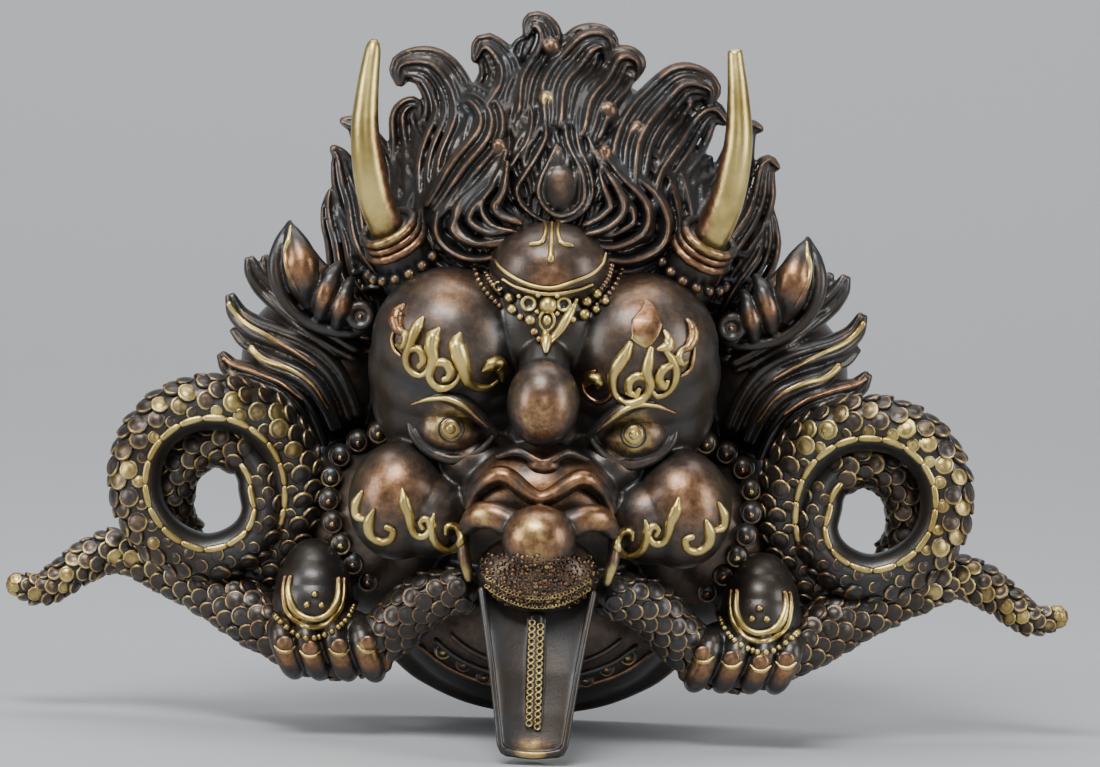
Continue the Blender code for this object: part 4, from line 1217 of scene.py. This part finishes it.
# The flames of the brows: keys (x, high) from the tip down and round, half widths and brass.
# The left brow has four flames, the right three and a chip that is broken off at its lower edge.
BROW_FLAMES = (
    (((-140.6, 445), (-145.5, 438), (-147.5, 430), (-145, 421), (-139, 416)),
     (1.4, 5.4, 6.2, 4.6, 2.0), 0.30),
    (((-144, 418), (-138.5, 416), (-137, 409), (-141, 403), (-146, 405)), (2.0, 3.2, 3.4, 3.0, 1.5), 0.9),
    (((-149, 420), (-151, 410), (-148, 400), (-142, 394)), (1.0, 1.6, 1.6, 1.0), 0.5),
    (((-121, 433), (-125, 426), (-129, 416), (-133, 404), (-136.5, 393), (-134.6, 383.8), (-128, 377),
      (-121, 375.5), (-116, 379.5), (-114.5, 386)), (1.3, 4.8, 5.4, 4.0, 3.4, 3.0, 2.8, 2.6, 2.0, 1.2), 0.95),
    (((-133, 400), (-126, 402), (-120.5, 397), (-119.5, 390), (-123.5, 384.5)),
     (2.4, 3.2, 3.4, 3.2, 2.2), 1.0),
    (((-104.7, 422.5), (-110.5, 413), (-111.5, 403), (-109.5, 394), (-111, 384), (-112.8, 375), (-108.5, 367),
      (-100.6, 363.6), (-91, 366), (-85, 372), (-83.5, 380)),
     (1.3, 6.0, 5.8, 4.6, 4.0, 3.3, 3.1, 3.0, 2.8, 2.2, 1.3), 1.0),
    (((-110, 386), (-103, 389), (-96.5, 387.5), (-92.3, 381), (-94, 374.5), (-98.5, 372.5)),
     (2.6, 3.3, 3.7, 3.7, 3.3, 2.4), 1.0),
    (((-84, 418), (-87, 408), (-83, 395), (-78.7, 382), (-74.5, 371), (-65.5, 365), (-54, 366),
      (-46.5, 372)),
     (1.5, 6.8, 6.6, 5.6, 4.8, 3.6, 2.8, 1.6), 1.0),
    (((-41.5, 373), (-41.5, 383), (-46, 389.5), (-53, 388), (-60.4, 382)), (2.0, 4.6, 5.8, 4.8, 1.3), 0.85),
    (((139, 439), (144.4, 431), (145.5, 421), (141, 412), (134, 408.5)), (1.5, 4.6, 5.0, 3.8, 2.0), 0.35),
    (((134, 408), (131.5, 401), (135, 395.5), (140, 397)), (2.2, 3.4, 3.2, 1.6), 0.95),
    (((147, 412), (146, 400), (143, 389), (135, 382.7)), (1.0, 1.7, 1.7, 1.0), 0.5),
    (((117, 427), (121, 420), (120.5, 412), (111, 408.5)), (1.3, 3.8, 4.4, 1.4), 0.95),
    (((118, 408), (125.3, 398.3), (129.5, 388), (128.5, 376), (121.6, 366.2), (112.1, 361.9), (106, 368)),
     (2.0, 3.4, 3.2, 3.0, 2.8, 2.6, 1.8), 0.95),
    (((126, 394), (116.5, 388.5), (113, 379), (118, 371.5), (121.5, 377)), (2.4, 3.6, 3.6, 3.3, 2.0), 1.0),
    (((83.3, 413), (79, 402), (71.3, 390.2), (67.6, 378.9), (69.7, 364.6), (77, 356.5), (86.8, 354.3),
      (99.3, 360.7), (104.6, 372.1), (100.8, 384.7), (102.9, 400.8), (104.3, 409)),
     (2.6, 5.0, 5.2, 4.2, 3.2, 2.8, 2.8, 3.2, 3.8, 4.4, 4.0, 2.2), 1.0),
    (((102, 379), (92.4, 381.5), (84.5, 376.3), (84, 366.6), (90.5, 362.8), (94, 368.5)),
     (2.4, 3.3, 3.6, 3.4, 2.9, 1.8), 1.0),
    (((67.9, 371), (64.2, 359.6), (53.3, 354.5), (41.8, 362.1), (38.3, 373.2), (42, 382), (50, 385.5)),
     (2.2, 2.5, 2.5, 2.2, 2.0, 1.8, 1.2), 0.3),
    (((41.5, 372), (47.7, 378.3), (55, 374.5), (53.6, 369)), (2.4, 4.4, 4.4, 1.8), 0.9),
)
CHIP = (((98, 457), (100, 446), (99, 432), (96, 420), (93, 414)), (1.5, 9.5, 16, 14, 10))

# Curls and leaves under the cheek for the viewer's right, in the same way.
CHEEK_CURLS = (
    (((136, 262), (133, 248), (129, 238), (127, 226), (122, 217), (113, 216), (107, 224), (111, 233),
      (118, 230), (115, 224)), (1.4, 4.4, 4.4, 3.4, 2.8, 2.8, 2.8, 2.8, 2.4, 1.8)),
    (((104, 238), (106, 226), (103, 212), (94, 204), (82, 205), (76, 215), (81, 226), (91, 226), (92, 219)),
     (1.4, 3.6, 3.4, 3.0, 3.0, 3.0, 3.0, 2.6, 1.8)),
    (((164, 240), (168, 228), (166, 216), (156, 209), (146, 212), (144, 220), (151, 224)),
     (1.4, 4.2, 4.0, 3.2, 3.0, 2.8, 2.0)),
    (((176, 258), (181, 246), (180, 234), (172, 230)), (1.4, 4.0, 3.6, 2.0)),
)


IRIS = (90, 323)
IRIS_RADIUS = 12.2


def face_marks(clay, skin, side):
    """The curls of the cheek, the lines of the eyelids and the iris."""
    for keys, widths in CHEEK_CURLS:
        line = skin.route(on_side(side, keys), 44, 1.8, 2)
        bar(clay, line, [w * 1.45 for w in widths], flat=0.8, sides=14, keel=0.2, brass=0.8, copper=0.9)
    lid = [(130, 346), (122, 349), (110, 352.5), (94, 353), (78, 346.5), (63, 334), (54, 326)]
    bar(clay, skin.route(on_side(side, lid), 34, 0.8, 2), (0.8, 2.8, 3.0, 2.8, 2.4, 1.0),
        brass=(0.3, 0.75, 0.75, 0.5, 0.2), copper=0.9)
    x, high = side * IRIS[0], IRIS[1]
    groove = [(x + IRIS_RADIUS * math.cos(a), high + IRIS_RADIUS * math.sin(a))
              for a in np.linspace(0, 2 * math.pi, 37)]
    bar(clay, skin.route(groove, 48, 0.1), 1.25)
    middle = skin.out(x, high)
    blob(clay, spot(x, high, middle - 1.6), (10.4, 10.4, 3.6), brass=0.55, copper=0.9)
    blob(clay, spot(x, high, middle + 0.4), (5.2, 5.2, 3.0), brass=0.6, copper=0.9)


def throat_lines(clay, skin):
    """Ridges that follow the rim of the throat, the innermost rubbed reddish."""
    for grow, thick, rust in ((0.90, 2.6, 0.55), (0.78, 3.2, 0.2), (0.66, 2.8, 0.3)):
        keys = [(x * grow, 150 - 96 * grow * math.sqrt(1 - (x / 152) ** 2))
                for x in np.linspace(-128, 128, 11)]
        bar(clay, skin.route(keys, 70, 1.2, 3), thick, sides=12, copper=rust)


def brow_flames(clay, skin):
    for keys, widths, gilt in BROW_FLAMES:
        line = skin.route(keys, 56, 2.4, 2)
        bar(clay, line, [wide * 1.36 for wide in widths], flat=0.85, sides=14, keel=0.2, brass=gilt,
            copper=1.0)
    keys, widths = CHIP
    bar(clay, skin.route(keys, 30, 0.6, 2), widths, flat=0.22, sides=24, brass=(0, 0, 0, 0.1, 0.7),
        copper=0.95)


# Curled balls round the back of the cheek, along a line, and on the jaw: x and high on one side.
CURL_LINE = (
    (140, 322), (159, 319), (181, 310), (200, 294), (210, 267), (208, 237), (198, 208), (181, 182),
    (166, 166),
)
JAW_CURLS = ((92, 101), (71, 89), (51, 77))
CURL_BALL = 12.0
CURL_PITCH = 23.0


def curl_balls(clay, side):
    """Balls side by side, each with a ring round the dot at its middle."""
    line = smooth_route([(x, 0, high) for x, high in CURL_LINE], 200)
    steps = np.arange(0, run_along(line)[-1], CURL_PITCH)
    row = [(x, high, CURL_BALL) for x, _, high in places_along(line, steps)]
    row += [(x, high, CURL_BALL * 0.8) for x, high in JAW_CURLS]
    for number, (x, high, size) in enumerate(row):
        middle = spot(side * x, high, ground(x, high) + 5)
        blob(clay, middle, (size, size, size), copper=0.06)
        ahead = middle + [0, -size * 0.62, -size * 0.12]
        bar(clay, curl_route(ahead, size * 0.72, size * 0.72, 0, 1.0, 30), size * 0.13, sides=10,
            brass=0.10 + 0.3 * (number % 3 == 1), copper=0.45)
        dot = size * 0.3
        blob(clay, middle + [0, -size * 0.90, -size * 0.15], (dot, dot, dot), sides=14, rings=9,
             brass=0.2 + 0.4 * (number % 3 == 1), copper=0.9)


# The beak's trough from its head to its tip: share of the way, half width, rim out from the wall.
BEAK_HIGH = 166.0
BEAK_STATIONS = ((0.0, 57, 262), (0.25, 50, 282), (0.5, 43, 300), (0.75, 37, 314), (0.93, 33, 322),
                 (1.0, 27, 322))
BEAK_HOLLOW = 15.0
BEAK_WALL = 13.0
BEAK_SIDES = 64


def beak_clay():
    """A long trough, hollow at the front, with raised rims and a low ridge down its middle."""
    clay = Clay()
    shares, half_widths, rims = zip(*BEAK_STATIONS)
    points = []
    stations = 48
    for share in np.linspace(0, 1, stations):
        half = np.interp(share, shares, half_widths)
        rim = np.interp(share, shares, rims)
        hollow = BEAK_HOLLOW * (1 - 0.75 * share ** 4)
        back = hollow + BEAK_WALL
        for side in range(BEAK_SIDES):
            angle = math.pi * side / (BEAK_SIDES / 2)
            if side <= BEAK_SIDES // 2:
                out = rim - hollow * math.sin(angle) ** 0.8
            else:
                out = rim - 3 - back * abs(math.sin(angle)) ** 0.7
            points.append(spot(half * math.cos(angle), BEAK_HIGH * (1 - share) + 2, out))
    top = np.mean(points[:BEAK_SIDES], axis=0)
    low = np.mean(points[-BEAK_SIDES:], axis=0) - [0, 0, 3]
    clay.add(points + [top, low], *ring_faces(stations, BEAK_SIDES))
    ridge = [spot(0, 140, 262), spot(0, 90, 284), spot(0, 34, 307)]
    bar(clay, smooth_route(ridge, 24), (7, 8.5, 8.5, 7), flat=0.6, sides=18)
    for side in BOTH_SIDES:
        edge = [spot(side * np.interp(s, shares, half_widths) * 0.97, BEAK_HIGH * (1 - s) + 2,
                     np.interp(s, shares, rims)) for s in np.linspace(0.02, 0.97, 24)]
        bar(clay, edge, (4, 3.6, 3.2, 3.6), sides=14)
    tip = [spot(x, 4 + 0.006 * x * x, 322) for x in np.linspace(-29, 29, 20)]
    bar(clay, tip, (3.2, 4.2, 3.2), sides=14)
    return clay


def beak_marks(rings, beads, beak_skin, head_skin):
    """The two rows of punched pits down the beak's ridge, and the punched texture of the mouth."""
    for column in BOTH_SIDES:
        for row in range(17):
            high = 134 - 6.2 * row - (3.1 if column > 0 else 0)
            rings.put(beak_skin.on(column * 4.2, high, 1.0), FRONT, (0, 0, 1), 3.7, 0.85)
    for row in range(12):
        reach = 56 * math.sqrt(max(0.0, 1 - ((row - 2.0) / 11.5) ** 2))
        high = 200 - 4.4 * row
        count = int(reach / 2.3)
        for step in range(count):
            x = (step - (count - 1) / 2) * 4.9 + (2.4 if row % 2 else 0) + RANDOM.uniform(-1.1, 1.1)
            place = head_skin.on(x, high + RANDOM.uniform(-1.3, 1.3), 0.4)
            if -place[1] > 236:
                kind = rings if RANDOM.uniform() < 0.45 else beads
                kind.put(place, FRONT, (0, 0, 1), RANDOM.uniform(1.6, 3.0), RANDOM.uniform(0.0, 0.12))
    for drop, worn in ((0, 0.7), (9, 0.8)):
        keys = [(x, 159 - drop + 0.0075 * x * x) for x in np.linspace(-50, 50, 7)]
        for place in head_skin.route(keys, 30, 0.8):
            if -place[1] > 225:
                rings.put(place, FRONT, (0, 0, 1), 2.4, worn)


HORN_RADII = (1.0, 1.0, 0.97, 0.88, 0.74, 0.58, 0.42)
ROUND_TIP = (0.98, 0.93, 0.80, 0.45)


def horn(side):
    """A horn: brass, with a copper foot and a copper inner edge."""
    route, _ = horn_frame(side)
    route = smooth_route(route, 60)
    radii = spread([share * HORN_FOOT_RADIUS / UNIT for share in HORN_RADII], 60)
    if side < 0:
        radii[-len(ROUND_TIP):] *= ROUND_TIP
    clay = Clay()
    bar(clay, route, radii, sides=40, capped=False)
    mesh = clay.mesh("horn_" + SIDE_WORDS[side])
    points, normals, _ = read_mesh(mesh)
    _, high = front_view(points)
    inner = ramp(-side * normals[:, 0] - 0.25 * np.abs(normals[:, 1]), 0.0, 0.9)
    foot = 1 - ramp(high, 500, 580)
    below = 1 - ramp(high, 590, 700)
    brass = np.clip(0.98 - 0.45 * foot - 0.95 * inner * below, 0, 1)
    copper = np.clip(0.95 - 0.35 * (1 - ramp(high, 512, 545)) - 0.25 * inner * below, 0, 1)
    write_shares(mesh, brass, copper)
    word = SIDE_WORDS[side]
    finish_piece("polished_horn_" + word, mesh, "horn_" + word, "horn_brass")


# The most triangles of each fused piece.
MOST_HEAD = 115000
MOST_CROWN = 165000
MOST_FOLDS = 64000
MOST_FLANK = 32000
MOST_EAR = 28000
MOST_FIST = 26000
MOST_BEAK = 36000
HEAD_EASE = 16


def build():
    head = fused("head", head_clay(), 2.1, MOST_HEAD, settle=HEAD_EASE, shape=flat_back)
    folds = fused("face_folds", folds_clay(), 1.5, MOST_FOLDS, settle=3)
    for mesh in (head, folds):
        paint(mesh, 40, (0.4, 2.2), both(COPPER_PATCHES) + list(MIDDLE_COPPER),
              both(BRASS_PATCHES) + list(MIDDLE_BRASS), crest_copper=0.35)
    head_skin = Skin(head, folds)
    finish_piece("head", head)
    finish_piece("face_folds", folds)
    hair = fused("crown_hair", crown_clay(), 1.5, MOST_CROWN, settle=1)
    paint(hair, 24, (0.4, 2.6), [(x, high, 12, 0.62) for x, high, _ in KNOBS],
          [(x, high, 10, 0.55) for x, high, _ in KNOBS[1:2]], crest_copper=0.50, crest_brass=0.03)
    finish_piece("crown_hair", hair)
    marks = Clay()
    brow_flames(marks, head_skin)
    throat_lines(marks, head_skin)
    beads = Scatter(SHAPES["bead"])
    rings = Scatter(SHAPES["ring"])
    forehead_marks(marks, beads, rings, head_skin)
    for side in BOTH_SIDES:
        word = SIDE_WORDS[side]
        flank = fused("flank_hair_" + word, flank_clay(side), 1.6, MOST_FLANK, settle=1)
        paint(flank, 24, (0.4, 2.6), [(side * 306, 384, 24, 0.5), (side * 304, 428, 16, 0.4)], (),
              crest_copper=0.50, crest_brass=0.05)
        flank_skin = Skin(flank)
        for keys, widths, gilt in FLANK_EDGES:
            line = flank_skin.route(on_side(side, keys), 40, 0.2, 3)
            bar(marks, line, widths, sides=12, brass=gilt, copper=0.85)
        finish_piece("flank_hair_" + word, flank)
        ear = fused("ear_" + word, ear_clay(side), 1.5, MOST_EAR, settle=1)
        paint(ear, 30, (0.3, 2.2), [(side * 246, 482, 24, 0.95), (side * 218, 452, 16, 0.85),
                                    (side * 203, 442, 14, 0.75), (side * 184, 434, 12, 0.55)],
              (), crest_copper=0.35)
        ear_marks(marks, Skin(ear), side)
        finish_piece("ear_" + word, ear)
        fist = fused("fist_" + word, fist_clay(side), 1.5, MOST_FIST, settle=1)
        paint(fist, 30, (0.3, 2.4), [(side * x, 92, 17, 0.85) for x in (246, 221, 193, 165, 150)],
              [(side * x, 104, 11, 0.5) for x in (249, 224, 196, 169)], crest_copper=0.3)
        fist_marks(marks, beads, Skin(fist), side)
        finish_piece("fist_" + word, fist)
        collar(marks, beads, side)
        face_marks(marks, head_skin, side)
        curl_balls(marks, side)
        serpent(side)
        horn(side)
    beak = fused("beak", beak_clay(), 1.3, MOST_BEAK, settle=2)
    paint(beak, 30, (0.5, 2.2), [(0, 4, 24, 0.8)], [(0, 3, 20, 0.75)], crest_copper=0.62, crest_brass=0.36)
    beak_skin = Skin(beak)
    finish_piece("beak", beak)
    beak_marks(rings, beads, beak_skin, head_skin)
    finish_piece("brass_marks", marks.mesh("brass_marks"))
    finish_piece("beads", beads.mesh("beads"))
    finish_piece("punched_rings", rings.mesh("punched_rings"))


CAMERA_AIM = (6.0, 352.0)
CAMERA_FAR = 4.0
CAMERA_RISE = 7.0
CAMERA_ROLL = 1.8
VIEW_WIDTH = 0.3290
SENSOR = 36.0


def place_camera():
    """The photograph's view: from the front and a little above, turned a little about its own axis."""
    data = bpy.data.cameras.new("camera")
    data.sensor_width = SENSOR
    data.lens = SENSOR * CAMERA_FAR / VIEW_WIDTH
    data.dof.use_dof = False
    camera = new_object("camera", data)
    x, high = CAMERA_AIM
    aim = Vector((x * UNIT, -0.05, (high - ORIGIN_HIGH) * UNIT + 0.012))
    rise = math.radians(CAMERA_RISE)
    camera.location = aim + CAMERA_FAR * Vector((0, -math.cos(rise), math.sin(rise)))
    tilt = Matrix.Rotation(math.radians(90) - rise, 3, "X")
    camera.rotation_euler = (tilt @ Matrix.Rotation(math.radians(CAMERA_ROLL), 3, "Z")).to_euler()
    bpy.context.scene.camera = camera


BACKDROP = (0.42, 0.43, 0.44)
BACKDROP_HALF = 2.6
# The backdrop's section in metres: how far back, and how high above its floor.
BACKDROP_LINE = ((-2.2, 0.0), (-0.6, 0.0), (0.5, 0.0), (0.85, 0.02), (1.05, 0.10), (1.2, 0.26), (1.28, 0.50),
                 (1.3, 0.9), (1.3, 2.6))
FLOOR_GAP = 0.0005


def place_stage():
    """A pale floor just under the beak's tip that curves up into a backdrop."""
    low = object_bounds()[0][2] - FLOOR_GAP
    curve = smooth_route([(0, back, up) for back, up in BACKDROP_LINE], 60)
    points = [(side * BACKDROP_HALF, y, low + z) for _, y, z in curve for side in BOTH_SIDES]
    faces = [(2 * i, 2 * i + 1, 2 * i + 3, 2 * i + 2) for i in range(len(curve) - 1)]
    mesh = bpy.data.meshes.new("backdrop")
    mesh.from_pydata(points, [], faces)
    paper = bpy.data.materials.new("pale_paper")
    paper.use_nodes = True
    shader = paper.node_tree.nodes["Principled BSDF"]
    shader.inputs["Base Color"].default_value = (*BACKDROP, 1.0)
    shader.inputs["Roughness"].default_value = 0.75
    mesh.materials.append(paper)
    mesh.shade_smooth()
    new_object("backdrop", mesh)


MASK_MIDDLE = (0, -0.05, -0.08)
# Soft lights: name, place, size across and up, power and what they point at.
LIGHTS = (
    ("key", (-0.25, -0.75, 1.05), (0.7, 0.4), 19.0, MASK_MIDDLE),
    ("left", (-1.1, -0.55, 0.25), (0.4, 0.8), 8.0, MASK_MIDDLE),
    ("right", (1.1, -0.50, 0.25), (0.4, 0.8), 8.0, MASK_MIDDLE),
    ("front", (0.1, -1.9, 0.3), (0.6, 0.4), 3.0, MASK_MIDDLE),
    ("back", (0.0, 0.35, 1.6), (2.0, 0.8), 20.0, (0, 0.9, -0.1)),
)
SKY = (0.62, 0.64, 0.68)
SKY_STRENGTH = 0.30


def place_lights():
    for name, place, (across, up), power, aim in LIGHTS:
        data = bpy.data.lights.new(name, "AREA")
        data.shape = "RECTANGLE"
        data.size = across
        data.size_y = up
        data.energy = power
        lamp = new_object(name, data)
        lamp.location = place
        lamp.rotation_euler = (Vector(aim) - Vector(place)).to_track_quat("-Z", "Y").to_euler()
    world = bpy.data.worlds.new("studio")
    bpy.context.scene.world = world
    world.use_nodes = True
    sky = world.node_tree.nodes["Background"]
    sky.inputs["Color"].default_value = (*SKY, 1.0)
    sky.inputs["Strength"].default_value = SKY_STRENGTH


METALS["dark_patina"] = wear_metal("dark_patina")
METALS["horn_brass"] = wear_metal("horn_brass")
SCATTER = scatter_tree()
SHAPES.update(scale=scale_shape(), bead=bead_shape(), ring=ring_shape())
build()
place_camera()
place_stage()
place_lights()
